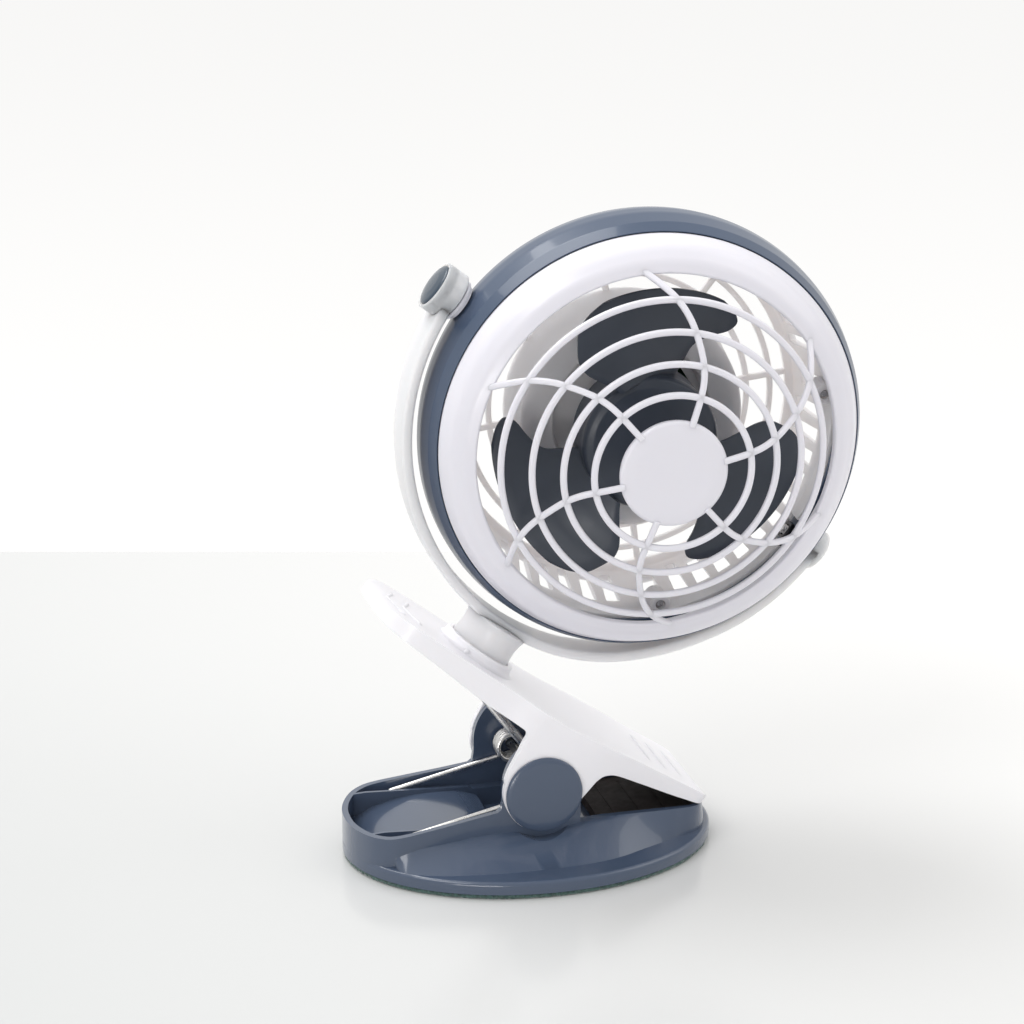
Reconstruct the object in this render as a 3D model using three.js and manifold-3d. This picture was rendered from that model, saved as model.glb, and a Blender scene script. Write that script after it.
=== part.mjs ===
// Clip fan: a small fan head in a half-ring yoke on a spring clip.
// Millimetres, +Z up. The origin is on the supporting surface, straight under the clip pin.
// +X runs from the squeeze handle to the jaw, -Y is the side that the head faces.
import * as THREE from 'three';
import { mergeVertices } from 'three/addons/utils/BufferGeometryUtils.js';
import Module from 'manifold-3d';

const wasm = await Module();
wasm.setup();

// ---------------------------------------------------------------- driving dimensions
const BASE_L = 134.4, BASE_W = 98.5, BASE_CX = 0.84;      // oval foot
const PAD_T = 1.6;                                        // felt pad under the foot
const FLANGE_Z0 = 1.9, FLANGE_Z1 = 6.3;                   // foot plate under the slope
const PIN_Z = 29.0, PIN_R = 1.5, PIN_HOLE_R = 1.85, PIN_HALF = 27.9;
const EAR_Y0 = 21.5, EAR_Y1 = 24.0;                       // upright ears of the base
const CHEEK_Y0 = 24.35, CHEEK_Y1 = 27.0, CHEEK_R = 14.6;  // cheeks of the upper jaw
const CAP_R = 13.74, CAP_Y0 = 27.3, CAP_Y1 = 28.6;
const JAW_RIM_Z = 16.3, TRAY_FLOOR_Z = 7.4, GROOVE_Z = 14.2, RIB_Y0 = 17.4, RIB_Y1 = 18.6, NICHE_R = 17;
const HEAD_X = 40.4, HEAD_Z = 151.8;                      // pivot centre of the head
const CLIP_LEAN = 36.7 * Math.PI / 180;                   // clip lever and neck lean toward the jaw
const HEAD_TILT = 4.82 * Math.PI / 180;                   // head tipped back in its yoke (signed)
const YOKE_RO = 85.35, YOKE_RI = 81.6, YOKE_W = 15.0;     // half ring
const BOSS_R = 8.8, BOSS_END = 89.9;
const NECK_R = 11.3, COLLAR_R = 13.7;
const RING_R = 78.1, BEZEL_R = 73.4, BEZEL_RI = 62.8;     // head ring and front bezel
const HUB_R = 23.8, HUB_FRONT = -20.1, BLADE_R = 53.9;
const DRUM_R = 39.9, DRUM_FRONT = 9.0, DRUM_BACK = 30.0;
const WIRE_R = 0.85, COIL_R = 4.85, COIL_TURNS = 4, COIL_X = -1.65, COIL_Z = 30.6;
const SLOTS = 50;                                         // slot pitch round the rear cover

// ---------------------------------------------------------------- geometry helpers
const V2 = (x, y) => new THREE.Vector2(x, y);
const V3 = (x, y, z) => new THREE.Vector3(x, y, z);

function solid(geo) {
  const g = geo.clone();
  g.deleteAttribute('normal');
  if (g.attributes.uv) g.deleteAttribute('uv');
  const m = mergeVertices(g, 1e-4);
  const ix = m.index.array, p = m.attributes.position.array, tris = [];
  let vol = 0;
  for (let i = 0; i < ix.length; i += 3) {
    const [a, b, c] = [ix[i], ix[i + 1], ix[i + 2]];
    if (a === b || b === c || a === c) continue;
    tris.push(a, b, c);
    const A = V3(...p.slice(3 * a, 3 * a + 3)), B = V3(...p.slice(3 * b, 3 * b + 3)), C = V3(...p.slice(3 * c, 3 * c + 3));
    vol += A.dot(B.cross(C));
  }
  if (vol < 0) for (let i = 0; i < tris.length; i += 3) [tris[i + 1], tris[i + 2]] = [tris[i + 2], tris[i + 1]];
  return new wasm.Manifold(new wasm.Mesh({ numProp: 3, vertProperties: Float32Array.from(p), triVerts: Uint32Array.from(tris) }));
}
function toGeometry(man) {
  const m = man.getMesh(), n = m.numProp, src = m.vertProperties;
  const pos = new Float32Array(src.length / n * 3);
  for (let i = 0; i < pos.length / 3; i++) for (let k = 0; k < 3; k++) pos[3 * i + k] = src[n * i + k];
  const g = new THREE.BufferGeometry();
  g.setAttribute('position', new THREE.BufferAttribute(pos, 3));
  g.setIndex(new THREE.BufferAttribute(Uint32Array.from(m.triVerts), 1));
  return g;
}
// turned body about the local Y axis; pts are [radius, y]
function turn(pts, n = 48) {
  const q = pts.map(([r, y]) => V2(r, y));
  const a = THREE.ShapeUtils.area(q);
  if (a < 0) q.reverse();
  if (q[0].x > 1e-6 || q[q.length - 1].x > 1e-6) q.push(q[0].clone());
  return solid(new THREE.LatheGeometry(q, n));
}
const move = (m, x, y, z) => m.translate([x, y, z]);
// bodies of revolution about other axes
const turnZ = (pts, n) => m4(turn(pts, n), new THREE.Matrix4().makeBasis(V3(1, 0, 0), V3(0, 0, 1), V3(0, -1, 0)));
const turnX = (pts, n) => m4(turn(pts, n), new THREE.Matrix4().makeBasis(V3(0, -1, 0), V3(1, 0, 0), V3(0, 0, 1)));
function m4(man, mat) { return man.transform(mat.elements); }
const rod = (r, a, b, n = 24) => [[0, a], [r, a], [r, b], [0, b]];
const disc = (r, a, b, n = 24) => turn(rod(r, a, b), n);
const discZ = (r, a, b, n = 24) => turnZ(rod(r, a, b), n);
const discX = (r, a, b, n = 24) => turnX(rod(r, a, b), n);

// polygons pushed along an axis
function push(pts, depth, holes = []) {
  const s = new THREE.Shape(pts.map(([x, y]) => V2(x, y)));
  for (const h of holes) s.holes.push(new THREE.Path(h.map(([x, y]) => V2(x, y))));
  return new THREE.ExtrudeGeometry(s, { depth, bevelEnabled: false, steps: 1 });
}
const pushZ = (pts, z0, z1, holes) => solid(push(pts, z1 - z0, holes).translate(0, 0, z0));
const pushY = (pts, y0, y1, holes) => solid(push(pts, y1 - y0, holes).rotateX(Math.PI / 2).translate(0, y1, 0));
const box = (x0, x1, y0, y1, z0, z1) => solid(new THREE.BoxGeometry(x1 - x0, y1 - y0, z1 - z0).translate((x0 + x1) / 2, (y0 + y1) / 2, (z0 + z1) / 2));

// closed body through rings with equal point counts; ends capped with fans (or joined into a loop)
function loft(rings, loop = false) {
  const pos = [], idx = [], k = rings[0].length, n = rings.length;
  for (const r of rings) for (const p of r) pos.push(p.x, p.y, p.z);
  const last = loop ? n : n - 1;
  for (let i = 0; i < last; i++) for (let j = 0; j < k; j++) {
    const a = i * k + j, b = i * k + (j + 1) % k, c = ((i + 1) % n) * k + j, d = ((i + 1) % n) * k + (j + 1) % k;
    idx.push(a, b, c, b, d, c);
  }
  if (!loop) for (const [i, flip] of [[0, true], [n - 1, false]]) {
    const cen = rings[i].reduce((s, p) => s.add(p), V3(0, 0, 0)).multiplyScalar(1 / k);
    const ci = pos.length / 3;
    pos.push(cen.x, cen.y, cen.z);
    for (let j = 0; j < k; j++) {
      const a = i * k + j, b = i * k + (j + 1) % k;
      if (flip) idx.push(ci, b, a); else idx.push(ci, a, b);
    }
  }
  const g = new THREE.BufferGeometry();
  g.setAttribute('position', new THREE.Float32BufferAttribute(pos, 3));
  g.setIndex(idx);
  g.computeVertexNormals();
  return solid(g);
}
// wire or bar of section [[side, up]...] along a path with a given up vector at each point
function sweep(path, section, upAt, loop = false) {
  const n = path.length, rings = [];
  for (let i = 0; i < n; i++) {
    const prev = loop ? path[(i + n - 1) % n] : path[Math.max(0, i - 1)];
    const next = loop ? path[(i + 1) % n] : path[Math.min(n - 1, i + 1)];
    const t = next.clone().sub(prev).normalize();
    const side = t.clone().cross(upAt(path[i], i)).normalize();
    const up = side.clone().cross(t).normalize();
    rings.push(section.map(([s, u]) => path[i].clone().addScaledVector(side, s).addScaledVector(up, u)));
  }
  return loft(rings, loop);
}
const ngon = (r, n, ph = 0) => Array.from({ length: n }, (_, i) => [r * Math.cos(ph + 2 * Math.PI * i / n), r * Math.sin(ph + 2 * Math.PI * i / n)]);
const rect = (w, h) => [[-w / 2, -h / 2], [w / 2, -h / 2], [w / 2, h / 2], [-w / 2, h / 2]];
const cyclic = (n, f) => Array.from({ length: n }, (_, i) => f(i));
const spin = (man, deg) => man.rotate([0, deg, 0]);     // about the head axis (local Y)
const unite = (list) => list.reduce((a, b) => a.add(b));
const arc = (cx, cy, r, a0, a1, n) => cyclic(n + 1, i => {
  const a = (a0 + (a1 - a0) * i / n) * Math.PI / 180;
  return [cx + r * Math.cos(a), cy + r * Math.sin(a)];
});

// ---------------------------------------------------------------- materials
const mat = (color, roughness, metalness = 0) => new THREE.MeshStandardMaterial({ color, roughness, metalness });
const M = {
  white: () => mat(0xebe9ee, 0.35), slate: () => mat(0x4b5869, 0.22), satin: () => mat(0x3e4450, 0.45),
  felt: () => mat(0x2e4f49, 0.95), steel: () => mat(0xb9bab8, 0.28, 1), rubber: () => mat(0x6b5450, 0.8),
  black: () => mat(0x1c1d20, 0.5), board: () => mat(0x2c5a3c, 0.55), copper: () => mat(0xb0703c, 0.35, 1),
  red: () => mat(0x9d2a24, 0.5),
};

const root = new THREE.Group();
const clip = new THREE.Group();                          // clip lever and yoke frame: x along the lever, z along the neck
clip.position.set(HEAD_X, 0, HEAD_Z);
clip.rotation.set(0, CLIP_LEAN, 0);
const head = new THREE.Group();                          // head frame: y backwards, x along the pivot axis
head.position.set(HEAD_X, 0, HEAD_Z);
head.rotation.set(HEAD_TILT, CLIP_LEAN, 0, 'YXZ');
root.add(clip, head);
function put(parent, name, man, material) {
  const mesh = new THREE.Mesh(toGeometry(man), material);
  mesh.name = name;
  parent.add(mesh);
  return mesh;
}

// ================================================================ base
// half outlines (x, |y|), from the handle end to the jaw end
const creaseHalf = [[-55.5, 0], [-55.5, 12], [-55, 21], [-53.1, 24.8], [-51.3, 29.6], [-48.6, 32.2], [-40.9, 35.5], [-32.6, 37.5], [-18.9, 39.3],
  [-4.8, 39.9], [6, 39.5], [15, 38.6], [25.1, 36.2], [35.3, 31.5], [48.4, 25.4], [57.5, 21.3], [62.4, 16], [64.4, 8], [64.9, 0]];
const crownHalf = [[-50, 0, 9.8], [-50, 12, 9.8], [-53, 20, 10.3], [-54.3, 24.4, 10.5], [-50, 24.9, 11.6], [-45, 24.9, 12.7], [-38, 24.7, 13.3], [-30, 24.3, 13.8],
  [-20, 23.8, 14.6], [-6, 24.4, 14.2], [5, 24.4, 14.2], [16, 23.2, 16], [26, 22.8, JAW_RIM_Z], [36, 22.8, JAW_RIM_Z], [48, 22.6, JAW_RIM_Z],
  [58, 21.4, JAW_RIM_Z], [61.4, 16.5, JAW_RIM_Z], [62.8, 8, JAW_RIM_Z], [63.2, 0, JAW_RIM_Z]];
const bothSides = (half) => [...half, ...half.slice(1, -1).reverse().map(([x, y, z]) => [x, -y, z])];
const ringAt = (half, z) => bothSides(half).map(p => V3(p[0], p[1], z ?? p[2]));

const oval = (a, b, z, n = 52) => cyclic(n, i => V3(BASE_CX + a * Math.cos(2 * Math.PI * i / n), b * Math.sin(2 * Math.PI * i / n), z));
const A = BASE_L / 2, B = BASE_W / 2;
const flange = loft([oval(A, B, FLANGE_Z0), oval(A, B, 5.3), oval(A - 1, B - 1, FLANGE_Z1)]);
const mound = loft([ringAt(creaseHalf, 4.0), ringAt(creaseHalf, FLANGE_Z1), ringAt(crownHalf)]);
// rounded wall of the handle end, with the ears; its rim rises toward the pin
const wallHalf = [[-66.2, 0], [-65.7, 6.6], [-63.9, 13], [-60.6, 19.5], [-57.6, 22.9], [-54.3, 25.1], [-50, 25.9], [-37, 25.4], [-26, 24.6], [-14.5, 24], [14.1, 24]];
const wallPlan = [...wallHalf, ...wallHalf.slice(1).reverse().map(([x, y]) => [x, -y])];
const earTop = [[14.1, 29.8], [14.2, 37.8], [11.5, 42.3], [8, 45], [3, 46.4], [-3, 46.4], [-8.1, 44.4], [-11.6, 40.2], [-13.7, 34.3], [-14, 26.8], [-14.6, 23.2]];
const wallSide = [[-67, 2.6], [14.1, 2.6], ...earTop, [-15.8, 22.3], [-26, 20.7], [-37, 19.1], [-54, 16.8], [-60, 16.4], [-67, 16]];
const walls = pushZ(wallPlan, 2.6, 50).intersect(pushY(wallSide, -30, 30));
let base = unite([flange, mound, walls]);
// inside: a ramped floor between two thin ribs, a groove for the spring leg outside each rib, and the lower jaw's hollow
const innerHalf = [[-64, 0], [-63.6, 6], [-62, 12], [-59.2, 17.8], [-56.6, 20.8], [-53.6, 22.8], [-49.6, 23.6], [-37, 23.2], [-26, 22.4], [-15, EAR_Y0], [14.4, EAR_Y0]];
const ramp = [[-67, 7], [-62, 7], [-58, 8.3], [-53, 10.8], [-46, 12.8], [-38, 14.1], [-30, 14.4], [-20, 13.8], [-14, 12], [-12.5, TRAY_FLOOR_Z], [14.4, TRAY_FLOOR_Z]];
const ribTop = [[-67, 17.2], [-33, 15.75], [-17, 15.08], [-15.6, GROOVE_Z], [14.4, GROOVE_Z]];
const above = (line, y0, y1) => pushY([...line, [14.4, 60], [-67, 60]], y0, y1);
const plan = (h) => [...h, ...h.slice(1).reverse().map(([x, y]) => [x, -y])];
base = base.subtract(pushZ(plan(innerHalf), 5, 60).intersect(unite([above(ramp, -RIB_Y0, RIB_Y0), above(ribTop, -28, 28),
  box(-58.5, 14.4, RIB_Y1, 28, GROOVE_Z, 60), box(-58.5, 14.4, -28, -RIB_Y1, GROOVE_Z, 60)])));
const jawHalf = [[14.3, 0], [14.3, 20.4], [57, 20.4], [59.6, 15.6], [60.9, 7.8], [61.3, 0]];
base = base.subtract(pushZ([...jawHalf, ...jawHalf.slice(1, -1).reverse().map(([x, y]) => [x, -y])], TRAY_FLOOR_Z, 60));
// room for the cheeks and caps outside the ears
for (const s of [-1, 1]) {
  base = base.subtract(move(turn(rod(NICHE_R, s > 0 ? EAR_Y1 : -34, s > 0 ? 34 : -EAR_Y1), 32), 0, 0, PIN_Z));
  base = base.subtract(pushY([[14, 16.4], [17.2, 16.4], [15.1, 18.8], [14.2, 21.8]], -30, 30));
}
base = base.subtract(move(disc(PIN_HOLE_R, -40, 40, 12), 0, 0, PIN_Z));
// hollow underside, left and right of the tray
for (const s of [-1, 1]) {
  const q = [[-44, 28], [-34, 32.5], [-18, 35], [6, 35.2], [24, 31.5], [36, 27], [36, 25], [-44, 25.9]].map(([x, y]) => [x, s * y]);
  base = base.subtract(pushZ(q, 0, 5.6));
  const q2 = [[-44, 26.2], [-38, 28.6], [-18, 31], [-6, 31], [4, 31], [20, 28.6], [30, 26], [30, 25], [-44, 25.6]].map(([x, y]) => [x, s * y]);
  base = base.subtract(pushZ(q2, 0, 7.6));
}
put(root, 'base_shell', base, M.slate());
put(root, 'foot_pad', loft([oval(A - 1.4, B - 1.4, 0), oval(A - 0.9, B - 0.9, PAD_T)]), M.felt());
// lower jaw pad on the hollow's floor
const padHalf = [[24, 0], [24, 19.6], [56.4, 19.6], [58.9, 15.1], [60.2, 7.6], [60.6, 0]];
put(root, 'lower_jaw_pad', loft([7.75, 12.2].map((z, k) => [...padHalf, ...padHalf.slice(1, -1).reverse().map(([x, y]) => [x, -y])]
  .map(([x, y]) => V3(x, y, k ? 11.2 + 3.4 * (x - 24) / 36.6 : z)))), M.rubber());
// pin, caps
put(root, 'pivot_pin', move(disc(PIN_R, -PIN_HALF, PIN_HALF, 14), 0, 0, PIN_Z), M.steel());
for (const [name, s] of [['pin_cap_front', -1], ['pin_cap_rear', 1]]) {
  const pts = [[0, s * 28.9], [CAP_R - 2.2, s * CAP_Y1], [CAP_R, s * 27.8], [CAP_R, s * CAP_Y0], [PIN_HOLE_R, s * CAP_Y0], [PIN_HOLE_R, s * 28.2], [0, s * 28.2]];
  put(root, name, move(turn(pts, 28), 0, 0, PIN_Z), M.slate());
}
// torsion springs: coil hanging loosely on the pin, one leg in the groove, one leg under the lever
for (const [name, s] of [['torsion_spring_front', -1], ['torsion_spring_rear', 1]]) {
  const steps = 10, a0 = -76.7, a1 = 37 + 360 * COIL_TURNS, y0 = 20.2, y1 = 12.6;
  const path = [V3(-46, s * y0, 15.15)];
  const N = Math.round(steps * (a1 - a0) / 360);
  const pt = (a, y) => V3(COIL_X + COIL_R * Math.cos(a * Math.PI / 180), s * y, COIL_Z + COIL_R * Math.sin(a * Math.PI / 180));
  path.push(V3(-24, s * y0, 20.34));
  for (let i = 0; i <= N; i++) path.push(pt(a0 + (a1 - a0) * i / N, y0 + (y1 - y0) * i / N));
  const e = path[path.length - 1], a = (a1 + 90) * Math.PI / 180;
  path.push(V3(e.x + 24 * Math.cos(a), e.y, e.z + 24 * Math.sin(a)));
  path.push(V3(e.x + 49 * Math.cos(a), e.y, e.z + 49 * Math.sin(a)));
  put(root, name, sweep(path, ngon(WIRE_R, 5), () => V3(0, 1, 0)), M.steel());
}

// ================================================================ clip lever (clip frame: x = u, z = v)
const PU = (0 - HEAD_X) * Math.cos(CLIP_LEAN) - (PIN_Z - HEAD_Z) * Math.sin(CLIP_LEAN);
const PV = (0 - HEAD_X) * Math.sin(CLIP_LEAN) + (PIN_Z - HEAD_Z) * Math.cos(CLIP_LEAN);
const inClip = (x, z) => [(x - HEAD_X) * Math.cos(CLIP_LEAN) - (z - HEAD_Z) * Math.sin(CLIP_LEAN), (x - HEAD_X) * Math.sin(CLIP_LEAN) + (z - HEAD_Z) * Math.cos(CLIP_LEAN)];
const tongue = [...arc(PU, PV, CHEEK_R, 20, -162, 13), ...[[-13.6, 36.1], [-11.5, 40.7], [-8.9, 45.6], [-7.4, 48.6]].map(([x, z]) => inClip(x, z))];
const leverSide = [[-46.4, -100.0], [-44.8, -98.8], [-41, -98], [33, -98], [45, -97.1], [60, -95.8], [80, -94.4], [94, -93.4], [96.2, -93.7], [97, -94.8],
  [96.8, -96.4], [95.4, -97.2], [82.7, -99.8], [70, -102], [60, -103.9], [57.9, -104.9], [56, -106.6], [54.9, -109.4], ...tongue,
  [23.3, -108.7], [21.5, -107.2], [5.2, -107.1], [-13, -105.4], [-30.2, -103.9], [-39.6, -103.3], [-46.2, -101.9]];
const leverHalf = [[-46.5, 0], [-46, 5], [-45, 10], [-43, 14.6], [-39.5, 18.6], [-35, 21.4], [-30, 22.8], [-20, 23.4], [0, 23.6], [12, 24.3], [21, 26.4], [25, CHEEK_Y1],
  [55, CHEEK_Y1], [59, 26], [66, 24.2], [78, 23], [90, 22.3], [95, 21.9], [96.8, 20.2], [97.2, 0]];
const closeHalf = (h) => [...h, ...h.slice(1, -1).reverse().map(([x, y]) => [x, -y])];
const cavHalf = [[-44.2, 0], [-43.7, 4.6], [-42.8, 9], [-40.9, 13.2], [-37.9, 16.8], [-33.9, 19.4], [-29, 20.7], [-20, 21.3], [0, 21.5], [12, 22.2], [19.5, 24.1], [22, CHEEK_Y0],
  [58, CHEEK_Y0], [61, 23.3], [66, 22], [78, 20.9], [90, 20.2], [94, 19.8], [94.9, 18.4], [95, 0]];
const cavSide = [[-46, -100.9], [-41, -100.1], [33, -100.1], [45, -99.3], [60, -98], [80, -96.6], [96, -95.5], [96, -150], [-46, -150]];
let lever = pushY(leverSide, -30, 30).intersect(pushZ(closeHalf(leverHalf), -140, -90))
  .subtract(pushY(cavSide, -30, 30).intersect(pushZ(closeHalf(cavHalf), -150, -90)));
lever = lever.add(turnZ([[0, -101.4], [12.8, -101.4], [12.8, -99.5], [15.4, -98.2], [14.1, -96.8], [COLLAR_R, -95.1], [COLLAR_R, -94.6], [0, -94.6]], 28));
lever = lever.subtract(discZ(11.75, -97.9, -90, 28)).subtract(discZ(4.4, -110, -90, 12));
lever = lever.subtract(move(disc(PIN_HOLE_R, -40, 40, 12), PU, 0, PV));
// grip ridges: chevrons on the handle, straight ribs near the jaw
const bar = (u0, y0, u1, y1, w, z0, z1) => {
  const d = Math.hypot(u1 - u0, y1 - y0), nx = -(y1 - y0) / d * w / 2, ny = (u1 - u0) / d * w / 2;
  return pushZ([[u0 + nx, y0 + ny], [u0 - nx, y0 - ny], [u1 - nx, y1 - ny], [u1 + nx, y1 + ny]], z0, z1);
};
for (const u of [-36, -29]) for (const s of [-1, 1]) lever = lever.add(bar(u - 2.6, s * -0.4, u + 1.9, s * 11, 1.1, -99, -97.55));
for (const u of [74, 81]) lever = lever.add(bar(u, -12, u, 12, 1.2, -96, -94.98 + 0.07 * (u - 72) + 0.45));
put(clip, 'clip_lever', lever, M.white());
// upper jaw pad
put(clip, 'upper_jaw_pad', pushY([[64, -98.1], [92.6, -96.15], [93.2, -98.9], [64, -104.3]], -18, 18), M.rubber());
// swivel screw and washer under the lever
put(clip, 'swivel_washer', turnZ([[2, -101.75], [8.6, -101.75], [8.6, -102.95], [2, -102.95]], 20), M.steel());
put(clip, 'swivel_screw', turnZ([[0, -91.6], [1.55, -91.6], [1.55, -103.25], [4, -103.25], [4, -105.2], [0, -105.2]], 12), M.steel());

// ================================================================ yoke (clip frame)
const yokeSection = rect(YOKE_W, YOKE_RO - YOKE_RI);
const yr = (YOKE_RO + YOKE_RI) / 2;
// the right arm runs closer to the head than the left one
const CLOSER = 3;
const yokePath = cyclic(49, i => {
  const deg = -180 + 180 * i / 48, k = Math.min(1, Math.max(0, (deg + 76) / 42)), r = yr - CLOSER * k * k * (3 - 2 * k), a = deg * Math.PI / 180;
  return V3(r * Math.cos(a), 0, r * Math.sin(a));
});
let yoke = sweep(yokePath, yokeSection, (p) => V3(p.x, 0, p.z).normalize());
// deep boss with a wide cap on the left, flush boss with a small cap on the right
const bossLeft = [[0, YOKE_RI], [BOSS_R, YOKE_RI], [BOSS_R, BOSS_END], [7.95, BOSS_END], [7.95, 86], [0, 86]];
const bossRight = [[0, YOKE_RI - CLOSER], [YOKE_W / 2, YOKE_RI - CLOSER], [YOKE_W / 2, 84.6], [0, 84.6]];
yoke = unite([yoke, turnX(bossRight, 24), turnX(bossLeft.map(([r, x]) => [r, -x]), 24)]);
yoke = yoke.add(turnZ([[0, -97.5], [NECK_R, -97.5], [NECK_R, -94], [11.1, -91.4], [11.1, -89.2], [11.35, -87], [11.8, -85.4], [11.8, -84.5], [0, -83.2]], 28))
  .add(discZ(3.9, -101.35, -97, 12));
yoke = yoke.subtract(discZ(1.9, -103, -91, 10)).subtract(discX(2.25, -95, 95, 12)).subtract(discX(5.2, 81.9, 95, 24)).subtract(discX(6.2, 75, 80.2, 20));
yoke = yoke.subtract(turn(rod(YOKE_RI - 0.35, -14, 14), 64).intersect(box(-16, 16, -14, 14, -90, -70)));
put(clip, 'yoke', yoke, M.white());
for (const [side, s] of [['left', -1], ['right', 1]]) {
  const f = (pts) => pts.map(([r, x]) => [r, s * x]), k = s < 0 ? 86.35 : 82.05, h = s < 0 ? 1.65 : 1.3;
  put(clip, 'pivot_spacer_' + side, turnX(f(s < 0 ? [[2.3, 78.55], [6.4, 78.55], [6.4, 79.8], [7.4, 79.8], [7.4, 80.95], [2.3, 80.95]] : [[2.3, 78.4], [5.9, 78.4], [5.9, 79.9], [2.3, 79.9]]), 16), M.white());
  put(clip, 'pivot_screw_' + side, turnX(f([[0, 67.6], [1.85, 67.6], [1.85, k], [3.9, k], [3.9, k + h], [0, k + h]]), 12), M.steel());
  put(clip, 'pivot_cap_' + side, turnX(f(s < 0 ? [[0, 88.6], [7.6, 88.6], [7.6, 89.9], [6.4, 90.45], [4, 90.95], [0, 91.2]] : [[0, 83.65], [4.9, 83.65], [4.9, 84.4], [3.5, 84.55], [0, 84.6]]), 24), M.slate());
}

// ================================================================ head (head frame: turned about y, front is -y)
const grilleCurve = [[18.2, -50.1], [26.7, -48.7], [36.4, -45.7], [46.1, -41.6], [55.5, -36], [62.8, -29], [66, -26.6]];
const swirl = [[17, 48.7], [30, 49], [36, 51], [42, 54.5], [50, 59.5], [55.5, 64], [60, 69], [63, 72.5], [65, 74.5]];
const lerp = (table, x) => {
  for (let i = 1; i < table.length; i++) if (x <= table[i][0] || i === table.length - 1) {
    const [x0, y0] = table[i - 1], [x1, y1] = table[i];
    return y0 + (y1 - y0) * (x - x0) / (x1 - x0);
  }
};
// bezel with a plain skirt that presses into the ring, four rings, a centre disc and six swirl ribs
let grille = turn([[BEZEL_R, -18.2], [BEZEL_R, -17], [71.6, -17], [71.6, -8.5], [70.2, -8.5], [70.2, -19.9], [68.6, -23.3], [63.6, -26.7], [61.9, -26.3], [62.3, -28.9], [66.4, -27.7], [70.6, -24.2]], 45);
for (const [r, y] of [[26.7, -48.7], [36.4, -45.7], [46.1, -41.6], [55.5, -36]]) {
  grille = grille.add(turn([[r - 1.15, y - 0.9], [r + 1.15, y - 0.4], [r + 0.9, y + 1.1], [r - 0.9, y + 0.9]], r > 40 ? 33 : 24));
}
grille = grille.add(turn([[0, -51], [14, -50.9], [17.6, -50.4], [18.4, -49.6], [18.2, -47.9], [0, -47.9]], 28));
for (let k = 0; k < 6; k++) {
  const path = [17, 31, 41, 50, 57, 63.4].map(r => {
    const a = (lerp(swirl, r) + 60 * k) * Math.PI / 180;
    return V3(r * Math.cos(a), lerp(grilleCurve, r) + (r > 62 ? 0.9 : 0), r * Math.sin(a));
  });
  grille = grille.add(sweep(path, rect(2.2, 2), (p) => V3(p.x * 0.55, -60, p.z * 0.55).normalize()));
}
put(head, 'front_grille', grille, M.white());

// slate ring round the head, with a pivot boss on each side
let ring = turn([[73.75, -18.4], [76.2, -13.2], [77.8, -6.2], [RING_R, -1], [77.2, 4.4], [75.2, 7.9], [72.2, 7.9], [72.2, -4.2], [70.2, -4.2], [70.2, -6], [72.2, -6], [72.2, -16.6], [73.75, -16.6]], 50);
ring = ring.add(discX(5.4, 71.7, 77, 12)).add(discX(5.4, -77, -71.7, 12)).subtract(discX(2.3, -90, 90, 12));
put(head, 'housing_ring', ring, M.slate());
for (const [side, s] of [['left', -1], ['right', 1]]) {
  const hex = pushZ(ngon(3.8, 6), 0, 2.3).subtract(discZ(2.2, -5, 5, 16));
  put(head, 'pivot_nut_' + side, m4(hex, new THREE.Matrix4().makeBasis(V3(0, 1, 0), V3(0, 0, 1), V3(1, 0, 0))).translate([s > 0 ? 69.1 : -71.4, 0, 0]), M.steel());
}

// rear cover: basket wall with slots, screw bosses, motor drum and ribs
let cover = spin(turn([[71.75, -3.6], [71.75, 3.2], [70.4, 6.2], [66.6, 27.4], [64.4, 30.2], [61.8, 30.2], [61.8, 27.9], [64.4, 26], [69.2, 2.6], [69.2, -3.6]], SLOTS), 180 / SLOTS);
for (let k = 0; k < SLOTS; k++) {
  const a = 360 / SLOTS * k, off = Math.abs(((a % 90) + 90) % 90 - 45);
  if (off < 8) continue;                                 // solid panels carry the screw bosses
  cover = cover.subtract(spin(loft([[60, 2.3, 1.7], [73, 2.85, 2.15]].map(([x, w, w2]) => [V3(x, 7, -w), V3(x, 23.4, -w2), V3(x, 23.4, w2), V3(x, 7, w)])), a));
}
for (const a of [45, 135, 225, 315]) cover = cover.add(spin(disc(3.7, -3.5, 6.4, 8).translate([67, 0, 0]), a));
for (const a of [45, 135, 225, 315]) cover = cover.subtract(spin(disc(3.2, 6.4, 20, 8).translate([67, 0, 0]), a)).subtract(spin(disc(1.75, -10, 10, 6).translate([67, 0, 0]), a));
cover = cover.subtract(box(66, 73, -6, 4.2, -5.8, 5.8)).subtract(box(-73, -66, -6, 4.2, -5.8, 5.8));
for (const [r, y] of [[56.3, 29.2], [47.6, 29.6]]) cover = cover.add(turn([[r - 1.1, y - 1.1], [r + 1.1, y - 1.1], [r + 1.1, y + 1.1], [r - 1.1, y + 1.1]], 32));
for (let k = 0; k < 8; k++) cover = cover.add(spin(box(41.6, 63, 27.9, 30.3, -1.15, 1.15), 45 * k));
const drum = turn([[DRUM_R, DRUM_FRONT], [42.4, DRUM_BACK], [40.2, DRUM_BACK], [37.6, 11.2], [30.2, 11.2], [29.6, 17.6], [14.9, 17.6], [14.9, 23.5], [12.6, 23.5], [12.6, 15.2], [27.6, 15.2], [28.4, DRUM_FRONT]], 32);
cover = cover.add(drum);
// wire slot in the drum floor, and three screw posts for the back cap
cover = cover.subtract(spin(box(17.5, 24.5, 10, 20, -4, 4), -70));
for (const a of [30, 150, 270]) cover = cover.add(spin(disc(3.2, 10, 29.6, 8).translate([33.5, 0, 0]), a)).subtract(spin(disc(1.5, 18, 35, 6).translate([33.5, 0, 0]), a));
put(head, 'rear_cover', cover, M.white());

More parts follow.
